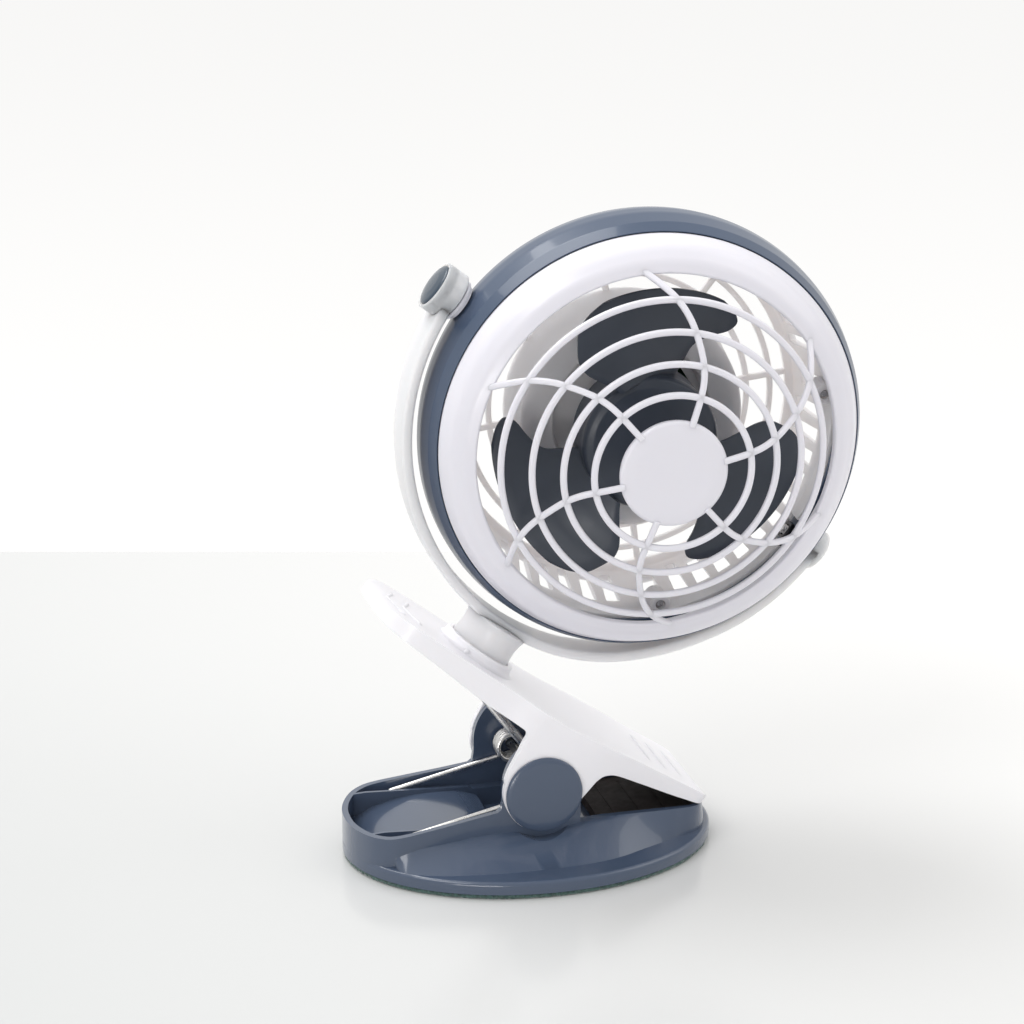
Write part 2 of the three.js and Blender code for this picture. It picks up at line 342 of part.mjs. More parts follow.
// back cap over the drum with a vented face, a switch window and an inlet window
let cap = turn([[0, 39], [26, 38.6], [35, 36.8], [39.5, 34.2], [41.4, 30.6], [39.4, 30.6], [37.8, 33], [34, 34.9], [26, 36.6], [0, 37]], 30);
for (const a of [30, 150, 270]) cap = cap.add(spin(disc(4.5, 30.6, 36.0, 8).translate([33.5, 0, 0]), a)).subtract(spin(disc(1.8, 25, 45, 6).translate([33.5, 0, 0]), a)).subtract(spin(disc(3.3, 32.8, 45, 8).translate([33.5, 0, 0]), a));
cap = cap.subtract(box(-7.4, 7.4, 30, 45, 9.6, 22.4)).subtract(box(-4.9, 4.9, 30, 45, -26.2, -21.4));
for (const x of [-8, 0, 8]) cap = cap.subtract(box(x - 1.2, x + 1.2, 33, 45, -10, 2));
put(head, 'back_cap', cap, M.white());
[30, 150, 270].forEach((a, i) => put(head, 'back_cap_screw_' + (i + 1), spin(turn([[0, 21.6], [1.2, 21.6], [1.2, 33.15], [2.8, 33.15], [2.8, 34.9], [0, 34.9]], 8).translate([33.5, 0, 0]), a), M.steel()));
[45, 135, 225, 315].forEach((a, i) => put(head, 'case_screw_' + (i + 1), spin(turn([[0, -2.6], [1.3, -2.6], [1.3, 6.75], [2.7, 6.75], [2.7, 8.6], [0, 8.6]], 8).translate([67, 0, 0]), a), M.steel()));

// motor
put(head, 'motor_can', turn([[1.6, -11.4], [3.4, -11.4], [3.4, -9.8], [11.2, -9.8], [12.2, -9], [12.2, 20.4], [11.1, 20.4], [11.1, -8.6], [1.6, -8.6]], 24), M.steel());
put(head, 'motor_magnet', turn([[8.4, -6.5], [10.7, -6.5], [10.7, 14.5], [8.4, 14.5]], 20), M.satin());
put(head, 'motor_end_cap', turn([[0, 20.8], [11.9, 20.8], [11.9, 22.2], [4.2, 22.2], [4.2, 23.4], [0, 23.4]], 20), M.black());
// board, switch and inlet
put(head, 'circuit_board', box(-17, 17, 26.6, 28.2, -27.6, 25), M.board());
put(head, 'switch_body', box(-9, 9, 28.6, 36.2, 8.2, 23.8).subtract(box(-6.9, 6.9, 31, 45, 10.1, 21.9)), M.black());
put(head, 'inlet_socket', box(-4.5, 4.5, 28.6, 38, -25.9, -21.7).subtract(box(-3.7, 3.7, 31.5, 45, -25.1, -22.5)), M.steel());
const rocker = pushY([[-5.6, 10.7], [5.6, 10.7], [5.6, 21.3], [-5.6, 21.3]], 33.2, 40.6)
  .intersect(m4(pushZ([[10, 33.2], [22, 33.2], [22, 40.4], [19.5, 39.9], [16, 38.9], [12.5, 39.9], [10, 40.4]], -10, 10), new THREE.Matrix4().makeBasis(V3(0, 0, 1), V3(0, 1, 0), V3(-1, 0, 0))));
put(head, 'switch_rocker', rocker, M.slate());
// leads from the motor to the board
const lead = (pts) => {
  const c = new THREE.CatmullRomCurve3(pts.map(p => V3(...p)));
  return sweep(c.getPoints(14), ngon(0.6, 6), () => V3(0.2, 0.3, 1).normalize());
};
put(head, 'motor_lead_red', lead([[6, 23.2, 3], [8, 24.6, 5], [11, 25.2, 9], [13, 25.5, 13]]), M.red());
put(head, 'motor_lead_black', lead([[-6, 23.2, 3], [-8, 24.6, 5], [-11, 25.2, 9], [-13, 25.5, 13]]), M.black());

// ================================================================ impeller (turns about the head axis)
let imp = turn([[0, HUB_FRONT], [20.6, HUB_FRONT], [23, -19.2], [HUB_R, -17.4], [HUB_R, -1.6], [22.2, -1.6], [22.2, -17.2], [20.8, -18.4], [3.6, -18.4], [3.6, -12.2], [1.3, -12.2], [1.3, -17.6], [0, -17.6]], 28);
const bladeY = (th) => -16 - 0.2 * (th - 131), BLADE_SHIFT = -1.5;
const onBlade = (r, th, dy) => V3(r * Math.cos((th + BLADE_SHIFT) * Math.PI / 180), bladeY(th) + dy, r * Math.sin((th + BLADE_SHIFT) * Math.PI / 180));
// blade as a radial stack of sections from root to tip
const bladeSections = [[22.9, 104.5, 159], [30, 103.5, 166], [35.5, 102.4, 169.6], [40.5, 96.5, 169.6], [45.5, 89.8, 165.5], [49.5, 88.6, 161.5], [52, 92, 156], [BLADE_R, 99, 148]];
const bladeRings = bladeSections.map(([r, a, b]) => {
  const top = [], bot = [];
  for (let i = 0; i <= 5; i++) { const th = a + (b - a) * i / 5; top.push(onBlade(r, th, -0.9)); bot.push(onBlade(r, th, 0.9)); }
  return [...top, ...bot.reverse()];
});
const blade = loft(bladeRings);
for (const k of [0, 1, 2]) imp = imp.add(spin(blade, 120 * k));
put(head, 'impeller', imp, M.satin());
put(head, 'motor_shaft', disc(1.0, -17.2, 19.8, 12), M.steel());
put(head, 'motor_rotor', turn([[1.3, -5.5], [7.9, -5.5], [7.9, 12.5], [4.4, 12.5], [4.4, 17.5], [1.3, 17.5]], 20), M.copper());

export default root;
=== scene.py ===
import math

import bmesh
import bpy
from mathutils import Matrix, Vector, noise


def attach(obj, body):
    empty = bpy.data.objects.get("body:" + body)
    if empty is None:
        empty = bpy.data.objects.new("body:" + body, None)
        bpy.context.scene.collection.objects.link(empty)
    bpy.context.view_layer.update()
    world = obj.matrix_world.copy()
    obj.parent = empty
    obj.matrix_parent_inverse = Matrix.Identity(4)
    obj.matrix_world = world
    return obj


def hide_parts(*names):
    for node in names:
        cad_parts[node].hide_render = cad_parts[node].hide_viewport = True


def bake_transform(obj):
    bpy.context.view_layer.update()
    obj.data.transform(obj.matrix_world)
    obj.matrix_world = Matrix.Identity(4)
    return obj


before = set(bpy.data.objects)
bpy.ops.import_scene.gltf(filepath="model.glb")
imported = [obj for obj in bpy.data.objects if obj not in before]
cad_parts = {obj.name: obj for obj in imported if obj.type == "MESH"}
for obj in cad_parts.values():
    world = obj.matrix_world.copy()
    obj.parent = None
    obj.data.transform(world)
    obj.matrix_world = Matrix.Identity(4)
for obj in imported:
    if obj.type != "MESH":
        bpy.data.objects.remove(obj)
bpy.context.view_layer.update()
scene = bpy.context.scene
rad = math.radians

# ------------------------------------------------------------------ frames (millimetres)
H = Vector((40.4, 0, 151.8))
PHI, TILT = rad(36.7), rad(4.82)
ROOT = Matrix.Identity(4)
CLIP = Matrix.Translation(H) @ Matrix.Rotation(PHI, 4, 'Y')
HEAD = CLIP @ Matrix.Rotation(TILT, 4, 'X')
PIN_Z = 29.0
BASE_CX, BASE_A, BASE_B = 0.84, 67.2, 49.25


# ------------------------------------------------------------------ outlines
def fillet(pts, r, seg=5, closed=True):
    """rounds the corners of an outline; r is one radius or one per corner. Corners on the axis (x = 0) stay sharp."""
    out, n = [], len(pts)
    for i in range(n):
        p = Vector(pts[i])
        ri = r[i] if isinstance(r, (list, tuple)) else r
        if (not closed and i in (0, n - 1)) or ri <= 0 or abs(p.x) < 1e-6:
            out.append(tuple(p))
            continue
        a, b = Vector(pts[i - 1]) - p, Vector(pts[(i + 1) % n]) - p
        la, lb = a.length, b.length
        if la < 1e-6 or lb < 1e-6:
            continue
        a, b = a / la, b / lb
        ang = math.acos(max(-1, min(1, a.dot(b))))
        if ang > rad(172) or ang < rad(4):
            out.append(tuple(p))
            continue
        t = min(ri / math.tan(ang / 2), 0.46 * la, 0.46 * lb)
        rr = t * math.tan(ang / 2)
        c = p + (a + b).normalized() * (rr / math.sin(ang / 2))
        s, e = p + a * t - c, p + b * t - c
        turn = s.angle_signed(e) if s.length > 0 and e.length > 0 else 0
        for k in range(seg + 1):
            q = Matrix.Rotation(-turn * k / seg, 2) @ s
            out.append(tuple(c + q))
    return out


def spline(pts, n=6, closed=False):
    """centripetal Catmull-Rom through the points, n steps a span"""
    P = [Vector(p) for p in pts]
    out, m = [], len(P)
    spans = m if closed else m - 1
    for i in range(spans):
        p1, p2 = P[i], P[(i + 1) % m]
        p0 = P[i - 1] if (closed or i > 0) else p1 * 2 - p2
        p3 = P[(i + 2) % m] if (closed or i + 2 < m) else p2 * 2 - p1
        t0 = 0.0
        t1 = t0 + max((p1 - p0).length, 1e-6) ** 0.5
        t2 = t1 + max((p2 - p1).length, 1e-6) ** 0.5
        t3 = t2 + max((p3 - p2).length, 1e-6) ** 0.5
        for k in range(n):
            t = t1 + (t2 - t1) * k / n
            a1 = p0 * ((t1 - t) / (t1 - t0)) + p1 * ((t - t0) / (t1 - t0))
            a2 = p1 * ((t2 - t) / (t2 - t1)) + p2 * ((t - t1) / (t2 - t1))
            a3 = p2 * ((t3 - t) / (t3 - t2)) + p3 * ((t - t2) / (t3 - t2))
            b1 = a1 * ((t2 - t) / (t2 - t0)) + a2 * ((t - t0) / (t2 - t0))
            b2 = a2 * ((t3 - t) / (t3 - t1)) + a3 * ((t - t1) / (t3 - t1))
            out.append(b1 * ((t2 - t) / (t2 - t1)) + b2 * ((t - t1) / (t2 - t1)))
    if not closed:
        out.append(P[-1])
    return out


def both(half):
    """half outline with |y| to the whole outline"""
    tail = [p for p in half if abs(p[1]) > 1e-6]
    return list(half) + [(p[0], -p[1], *p[2:]) for p in reversed(tail)]


def arc(cx, cy, r, a0, a1, n):
    return [(cx + r * math.cos(rad(a0 + (a1 - a0) * i / n)), cy + r * math.sin(rad(a0 + (a1 - a0) * i / n))) for i in range(n + 1)]


def ngon(r, n, ph=0.0):
    return [(r * math.cos(ph + 2 * math.pi * i / n), r * math.sin(ph + 2 * math.pi * i / n)) for i in range(n)]


def rrect(w, h, r, seg=4):
    return fillet([(-w / 2, -h / 2), (w / 2, -h / 2), (w / 2, h / 2), (-w / 2, h / 2)], r, seg)


def lerp(table, x):
    for (x0, y0), (x1, y1) in zip(table, table[1:]):
        if x <= x1:
            break
    return y0 + (y1 - y0) * (x - x0) / (x1 - x0)


# ------------------------------------------------------------------ solids (temporary objects in millimetres)
def body(verts, faces):
    me = bpy.data.meshes.new("tmp")
    me.from_pydata([tuple(v) for v in verts], [], faces)
    me.update()
    bm = bmesh.new()
    bm.from_mesh(me)
    bmesh.ops.remove_doubles(bm, verts=bm.verts, dist=1e-4)
    bmesh.ops.dissolve_degenerate(bm, edges=bm.edges, dist=1e-5)
    bmesh.ops.recalc_face_normals(bm, faces=bm.faces)
    if bm.calc_volume(signed=True) < 0:
        bmesh.ops.reverse_faces(bm, faces=bm.faces)
    bm.to_mesh(me)
    bm.free()
    ob = bpy.data.objects.new("tmp", me)
    scene.collection.objects.link(ob)
    return ob


def turn(pts, n=128, axis='Y'):
    """closed profile [(r, along)] turned about the axis"""
    verts, faces, m = [], [], len(pts)
    for i in range(n):
        a = 2 * math.pi * i / n
        c, s = math.cos(a), math.sin(a)
        for r, t in pts:
            verts.append({'Y': (r * c, t, r * s), 'Z': (r * c, r * s, t), 'X': (t, r * c, r * s)}[axis])
    for i in range(n):
        for j in range(m):
            a, b, c, d = i * m + j, i * m + (j + 1) % m, ((i + 1) % n) * m + (j + 1) % m, ((i + 1) % n) * m + j
            faces.append((a, b, c, d))
    return body(verts, faces)


def rod(r, a, b, n=48, axis='Y', rnd=0.0):
    pts = [(0, a), (r, a), (r, b), (0, b)]
    return turn(fillet(pts, rnd, 4) if rnd else pts, n, axis)


def loft(rings, loop=False, caps=True):
    verts, faces, k, n = [], [], len(rings[0]), len(rings)
    for r in rings:
        verts += [tuple(p) for p in r]
    for i in range(n if loop else n - 1):
        for j in range(k):
            faces.append((i * k + j, i * k + (j + 1) % k, ((i + 1) % n) * k + (j + 1) % k, ((i + 1) % n) * k + j))
    if not loop and caps:
        faces.append(tuple(range(k)))
        faces.append(tuple((n - 1) * k + j for j in reversed(range(k))))
    return body(verts, faces)


def prism(pts, a, b, axis='Z'):
    """outline pushed along an axis. Z: (x, y); Y: (x, z); X: (y, z)"""
    f = {'Z': lambda p, t: (p[0], p[1], t), 'Y': lambda p, t: (p[0], t, p[1]), 'X': lambda p, t: (t, p[0], p[1])}[axis]
    return loft([[f(p, a) for p in pts], [f(p, b) for p in pts]])


def block(x0, x1, y0, y1, z0, z1, r=0.0):
    ob = prism([(x0, y0), (x1, y0), (x1, y1), (x0, y1)], z0, z1)
    return bevel(ob, r, 3) if r else ob


def sweep(path, section, up_at, loop=False, scale=None):
    path = [Vector(p) for p in path]
    n, rings = len(path), []
    for i, p in enumerate(path):
        prev = path[i - 1] if (loop or i > 0) else p
        nxt = path[(i + 1) % n] if (loop or i < n - 1) else p
        t = (nxt - prev).normalized()
        side = t.cross(Vector(up_at(p, i))).normalized()
        up = side.cross(t).normalized()
        k = scale(i / (n - 1)) if scale else 1.0
        rings.append([p + side * (s * k) + up * (u * k) for s, u in section])
    return loft(rings, loop)


def wire(path, r, n=12):
    """round wire with a steady frame along any path, ends rounded"""
    path = [Vector(p) for p in path]
    rings, side = [], None
    m = len(path)
    for i, p in enumerate(path):
        t = (path[min(i + 1, m - 1)] - path[max(i - 1, 0)]).normalized()
        if side is None:
            side = t.orthogonal().normalized()
        side = (side - t * side.dot(t)).normalized()
        up = t.cross(side)
        ring = lambda c, k: [c + side * (r * k * math.cos(2 * math.pi * j / n)) + up * (r * k * math.sin(2 * math.pi * j / n)) for j in range(n)]
        if i == 0:
            rings += [ring(p - t * r * 0.0, 0.55), ring(p + t * r * 0.25, 0.9)]
        elif i == m - 1:
            rings += [ring(p - t * r * 0.25, 0.9), ring(p, 0.55)]
        else:
            rings.append(ring(p, 1.0))
    return loft(rings)


def mv(ob, m):
    ob.data.transform(m)
    return ob


def shift(ob, x=0, y=0, z=0):
    return mv(ob, Matrix.Translation((x, y, z)))


def spin(ob, deg):
    """about the head's axis, +x towards +z"""
    return mv(ob, Matrix.Rotation(rad(-deg), 4, 'Y'))


def merge(obs):
    """several bodies as one object, without cutting"""
    bm = bmesh.new()
    for o in obs:
        bm.from_mesh(o.data)
    me = bpy.data.meshes.new("tmp")
    bm.to_mesh(me)
    bm.free()
    for o in obs[1:]:
        kill(o)
    old, obs[0].data = obs[0].data, me
    bpy.data.meshes.remove(old)
    return obs[0]


def kill(o):
    me = o.data
    bpy.data.objects.remove(o)
    bpy.data.meshes.remove(me)


def boole(a, b, op):
    for solver in ('MANIFOLD', 'EXACT'):
        m = a.modifiers.new("b", 'BOOLEAN')
        m.operation, m.object, m.solver = op, b, solver
        dg = bpy.context.evaluated_depsgraph_get()
        dg.update()
        me = bpy.data.meshes.new_from_object(a.evaluated_get(dg))
        a.modifiers.clear()
        if len(me.polygons):
            break
        print("solver gave nothing:", solver, op)
    old, a.data = a.data, me
    bpy.data.meshes.remove(old)
    kill(b)
    return a


def cut(a, *bs):
    for b in bs:
        boole(a, b, 'DIFFERENCE')
    return a


def join(a, *bs):
    for b in bs:
        boole(a, b, 'UNION')
    return a


def keep(a, b):
    return boole(a, b, 'INTERSECT')


def tidy(ob, dist=0.02, flat=0.6):
    bm = bmesh.new()
    bm.from_mesh(ob.data)
    bmesh.ops.remove_doubles(bm, verts=bm.verts, dist=dist)
    bmesh.ops.dissolve_degenerate(bm, edges=bm.edges, dist=dist)
    if flat:
        bmesh.ops.dissolve_limit(bm, angle_limit=rad(flat), verts=bm.verts, edges=bm.edges)
    bm.to_mesh(ob.data)
    bm.free()
    return ob


def bevel(ob, r, seg=3, lo=28.0, pick=None, profile=0.5, clamp=True):
    bm = bmesh.new()
    bm.from_mesh(ob.data)
    bm.normal_update()
    edges = []
    for e in bm.edges:
        if len(e.link_faces) != 2:
            continue
        if e.calc_face_angle(0) < rad(lo):
            continue
        if pick and not pick(e.verts[0].co, e.verts[1].co):
            continue
        edges.append(e)
    if edges:
        bmesh.ops.bevel(bm, geom=edges, offset=r, offset_type='OFFSET', segments=seg, profile=profile, affect='EDGES',
                        clamp_overlap=clamp, loop_slide=True, miter_outer='ARC' if seg > 1 else 'SHARP')
    bmesh.ops.remove_doubles(bm, verts=bm.verts, dist=1e-3)
    bm.to_mesh(ob.data)
    bm.free()
    return ob


made = {}


def piece(name, ob, to, mat, nodes=(), at=ROOT, sharp=38.0, weighted=True):
    """finished mesh: metres, row frame, smooth shading, riding on its body; a tuple target is only baked in place"""
    me = ob.data
    me.transform(Matrix.Scale(0.001, 4) @ at)
    if at.determinant() < 0:
        me.flip_normals()
    bm = bmesh.new()
    bm.from_mesh(me)
    bmesh.ops.dissolve_degenerate(bm, edges=bm.edges, dist=1e-7)
    loose = [e for e in bm.edges if not e.link_faces]
    if loose:
        bmesh.ops.delete(bm, geom=loose, context='EDGES')
    bad = [e for e in bm.edges if len(e.link_faces) != 2]
    if bad:
        print("open edges", name, len(bad))
    bm.to_mesh(me)
    bm.free()
    me.shade_smooth()
    me.set_sharp_from_angle(angle=rad(sharp))
    ob.name = me.name = name
    me.materials.clear()
    me.materials.append(mat)
    if weighted:
        w = ob.modifiers.new("wn", 'WEIGHTED_NORMAL')
        w.keep_sharp = True
    if isinstance(to, tuple):
        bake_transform(ob)
    else:
        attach(ob, to)
    if nodes:
        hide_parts(*nodes)
    made[name] = ob
    return ob


# ------------------------------------------------------------------ materials
def material(name, color, rough, metal=0.0, vary=0.06, scale=60.0, rvary=0.05, bump=0.0, bscale=900.0, coat=0.0, coat_rough=0.04,
             ior=1.46, sheen=0.0, second=None, spec=0.5, under=0.0, depth=0.003):
    m = bpy.data.materials.new(name)
    m.use_nodes = True
    nt = m.node_tree
    nt.nodes.clear()
    N, L = nt.nodes.new, nt.links.new
    out = N('ShaderNodeOutputMaterial')
    sh = N('ShaderNodeBsdfPrincipled')
    L(sh.outputs[0], out.inputs['Surface'])
    co = N('ShaderNodeTexCoord')
    n1 = N('ShaderNodeTexNoise')
    n1.inputs['Scale'].default_value = scale
    n1.inputs['Detail'].default_value = 4.0
    L(co.outputs['Object'], n1.inputs['Vector'])
    ramp = N('ShaderNodeValToRGB')
    c2 = second or tuple(max(0.0, c * (1 - vary)) for c in color)
    ramp.color_ramp.elements[0].position, ramp.color_ramp.elements[1].position = 0.35, 0.65
    ramp.color_ramp.elements[0].color = (*c2, 1)
    ramp.color_ramp.elements[1].color = (*color, 1)
    L(n1.outputs['Fac'], ramp.inputs['Fac'])
    L(ramp.outputs['Color'], sh.inputs['Base Color'])
    n2 = N('ShaderNodeTexNoise')
    n2.inputs['Scale'].default_value = scale * 2.3
    n2.inputs['Detail'].default_value = 6.0
    L(co.outputs['Object'], n2.inputs['Vector'])
    mr = N('ShaderNodeMapRange')
    mr.inputs['From Min'].default_value, mr.inputs['From Max'].default_value = 0.3, 0.7
    mr.inputs['To Min'].default_value, mr.inputs['To Max'].default_value = max(0.02, rough - rvary), rough + rvary
    L(n2.outputs['Fac'], mr.inputs['Value'])
    L(mr.outputs['Result'], sh.inputs['Roughness'])
    if bump:
        n3 = N('ShaderNodeTexNoise')
        n3.inputs['Scale'].default_value = bscale
        n3.inputs['Detail'].default_value = 3.0
        L(co.outputs['Object'], n3.inputs['Vector'])
        bp = N('ShaderNodeBump')
        bp.inputs['Strength'].default_value = bump
        bp.inputs['Distance'].default_value = 0.0002
        L(n3.outputs['Fac'], bp.inputs['Height'])
        L(bp.outputs['Normal'], sh.inputs['Normal'])
    sh.inputs['Metallic'].default_value = metal
    sh.inputs['IOR'].default_value = ior
    sh.inputs['Specular IOR Level'].default_value = spec
    if coat:
        sh.inputs['Coat Weight'].default_value = coat
        sh.inputs['Coat Roughness'].default_value = coat_rough
    if under:
        sh.inputs['Subsurface Weight'].default_value = under
        sh.inputs['Subsurface Radius'].default_value = (1.0, 0.92, 0.86)
        sh.inputs['Subsurface Scale'].default_value = depth
    if sheen:
        sh.inputs['Sheen Weight'].default_value = sheen
        sh.inputs['Sheen Roughness'].default_value = 0.5
    return m


WHITE = material("white_gloss_plastic", (0.79, 0.78, 0.84), 0.30, vary=0.012, scale=9, rvary=0.02, bump=0.002, bscale=1500, coat=0.25, coat_rough=0.12, under=0.25, depth=0.002)
# painted light: a brighter copy of the white plastic for the lever, standing in for light on its front and handle top
WHITE_CLIP_PAINTED_LIGHT = material("white_clip_plastic_painted_light", (0.90, 0.89, 0.93), 0.30, vary=0.012, scale=9, rvary=0.02, bump=0.002, bscale=1500, coat=0.25, coat_rough=0.12, under=0.25, depth=0.002)
# painted light: a brighter, warmer copy of the white plastic for the rear cover, standing in for light inside the
# shaded cage behind the grille
WHITE_CAGE_PAINTED_LIGHT = material("white_cage_plastic_painted_light", (0.89, 0.855, 0.86), 0.34, vary=0.015, scale=9, rvary=0.03, bump=0.003, bscale=1500, under=0.8, depth=0.008)
WHITE_YOKE = material("white_yoke_plastic", (0.80, 0.785, 0.80), 0.32, vary=0.012, scale=9, rvary=0.02, bump=0.002, bscale=1500, coat=0.15, coat_rough=0.15, under=0.85, depth=0.014)
SLATE = material("slate_gloss_plastic", (0.062, 0.087, 0.140), 0.24, vary=0.04, scale=12, rvary=0.03, bump=0.002, bscale=1500, coat=0.6, coat_rough=0.05)
# painted shade: a darker copy of the slate plastic for the pivot caps, standing in for shade on the discs
SLATE_CAP_PAINTED_SHADE = material("slate_cap_plastic_painted_shade", (0.040, 0.062, 0.090), 0.24, vary=0.04, scale=12, rvary=0.03, bump=0.002, bscale=1500, coat=0.3, coat_rough=0.05, spec=0.3)
SLATE_RING = material("slate_ring_plastic", (0.060, 0.088, 0.145), 0.30, vary=0.05, scale=10, rvary=0.04, bump=0.002, bscale=1500, coat=0.35, coat_rough=0.06, spec=0.35)
IMPELLER = material("impeller_satin_plastic", (0.033, 0.042, 0.060), 0.36, vary=0.12, scale=45, rvary=0.06, bump=0.05, bscale=700, coat=0.15, coat_rough=0.25)
FELT = material("felt_green_grey", (0.075, 0.150, 0.135), 0.95, vary=0.5, scale=900, rvary=0.04, bump=0.9, bscale=2600, sheen=0.6)
RUBBER = material("jaw_rubber", (0.036, 0.027, 0.025), 0.75, vary=0.35, scale=150, rvary=0.1, bump=0.3, bscale=1200)
STEEL = material("spring_steel_wire", (0.86, 0.85, 0.83), 0.30, metal=1.0, vary=0.12, scale=250, rvary=0.07, bump=0.05, bscale=1500)
SCREW = material("screw_steel", (0.55, 0.55, 0.55), 0.30, metal=1.0, vary=0.2, scale=400, rvary=0.1, bump=0.05, bscale=1800)
CAN = material("motor_can_steel", (0.60, 0.60, 0.61), 0.32, metal=1.0, vary=0.12, scale=120, rvary=0.1, bump=0.05, bscale=900)
MAGNET = material("sintered_magnet", (0.07, 0.07, 0.075), 0.6, vary=0.3, scale=300, rvary=0.1, bump=0.2, bscale=1500)
ROTOR = material("copper_winding", (0.62, 0.26, 0.10), 0.35, metal=1.0, vary=0.3, scale=350, rvary=0.1, bump=0.3, bscale=1500)
NUT = material("dark_nut_steel", (0.10, 0.10, 0.105), 0.40, metal=1.0, vary=0.2, scale=400, rvary=0.1, bump=0.05, bscale=1800)
DARK = material("dark_plastic", (0.018, 0.019, 0.021), 0.42, vary=0.2, scale=120, rvary=0.08, bump=0.1, bscale=1200)
BOARD = material("board_green", (0.02, 0.10, 0.04), 0.45, vary=0.35, scale=260, rvary=0.1, bump=0.1, bscale=1500, coat=0.3)
RED = material("lead_red", (0.42, 0.025, 0.02), 0.45, vary=0.15, scale=200, rvary=0.08, bump=0.1)
BLACK = material("lead_black", (0.02, 0.02, 0.02), 0.45, vary=0.2, scale=200, rvary=0.08, bump=0.1)

# ================================================================== base
crease = [(-55.5, 0), (-55.5, 12), (-55, 21), (-53.1, 24.8), (-51.3, 29.6), (-48.6, 32.2), (-40.9, 35.5), (-32.6, 37.5), (-18.9, 39.3),
          (-4.8, 39.9), (6, 39.5), (15, 38.6), (25.1, 36.2), (35.3, 31.5), (48.4, 25.4), (57.5, 21.3), (62.4, 16), (64.4, 8), (64.9, 0)]
crown = [(-50, 0, 9.8), (-50, 12, 9.8), (-53, 20, 10.3), (-54.3, 24.4, 10.5), (-50, 24.9, 11.6), (-45, 24.9, 12.7), (-38, 24.7, 13.3), (-30, 24.3, 13.8),
         (-20, 23.8, 14.6), (-6, 24.4, 14.2), (5, 24.4, 14.2), (16, 23.2, 16), (26, 22.8, 16.3), (36, 22.8, 16.3), (48, 22.6, 16.3),
         (58, 21.4, 16.3), (61.4, 16.5, 16.3), (62.8, 8, 16.3), (63.2, 0, 16.3)]
wall_half = [(-66.2, 0), (-65.7, 6.6), (-63.9, 13), (-60.6, 19.5), (-57.6, 22.9), (-54.3, 25.1), (-50, 25.9), (-37, 25.4), (-26, 24.6), (-14.5, 24), (14.1, 24)]
ear_top = [(14.1, 29.8), (14.2, 37.8), (11.5, 42.3), (8, 45), (3, 46.4), (-3, 46.4), (-8.1, 44.4), (-11.6, 40.2), (-13.7, 34.3), (-14, 26.8), (-14.6, 23.2)]
inner_half = [(-64, 0), (-63.6, 6), (-62, 12), (-59.2, 17.8), (-56.6, 20.8), (-53.6, 22.8), (-49.6, 23.6), (-37, 23.2), (-26, 22.4), (-15, 21.5), (14.4, 21.5)]
ramp = [(-67, 7), (-62, 7), (-58, 8.3), (-53, 10.8), (-46, 12.8), (-38, 14.1), (-30, 14.4), (-20, 13.8), (-14, 12)]
rib_top = [(-67, 17.2), (-33, 15.75), (-17, 15.08), (-15.6, 14.2), (14.4, 14.2)]


def oval(a, b, z, n=160):
    return [Vector((BASE_CX + a * math.cos(2 * math.pi * i / n), b * math.sin(2 * math.pi * i / n), z)) for i in range(n)]


def curve_half(half, upto, n=6):
    """splines the first points of a half outline (mirrored at the centre line) and keeps the rest straight"""
    lead = [Vector((p[0], -p[1], *p[2:])) for p in reversed(half[1:3])] + [Vector(p) for p in half[:upto]]
    s = spline(lead, n)
    return [tuple(p) for p in s[2 * n:]] + [tuple(p) for p in half[upto:]]


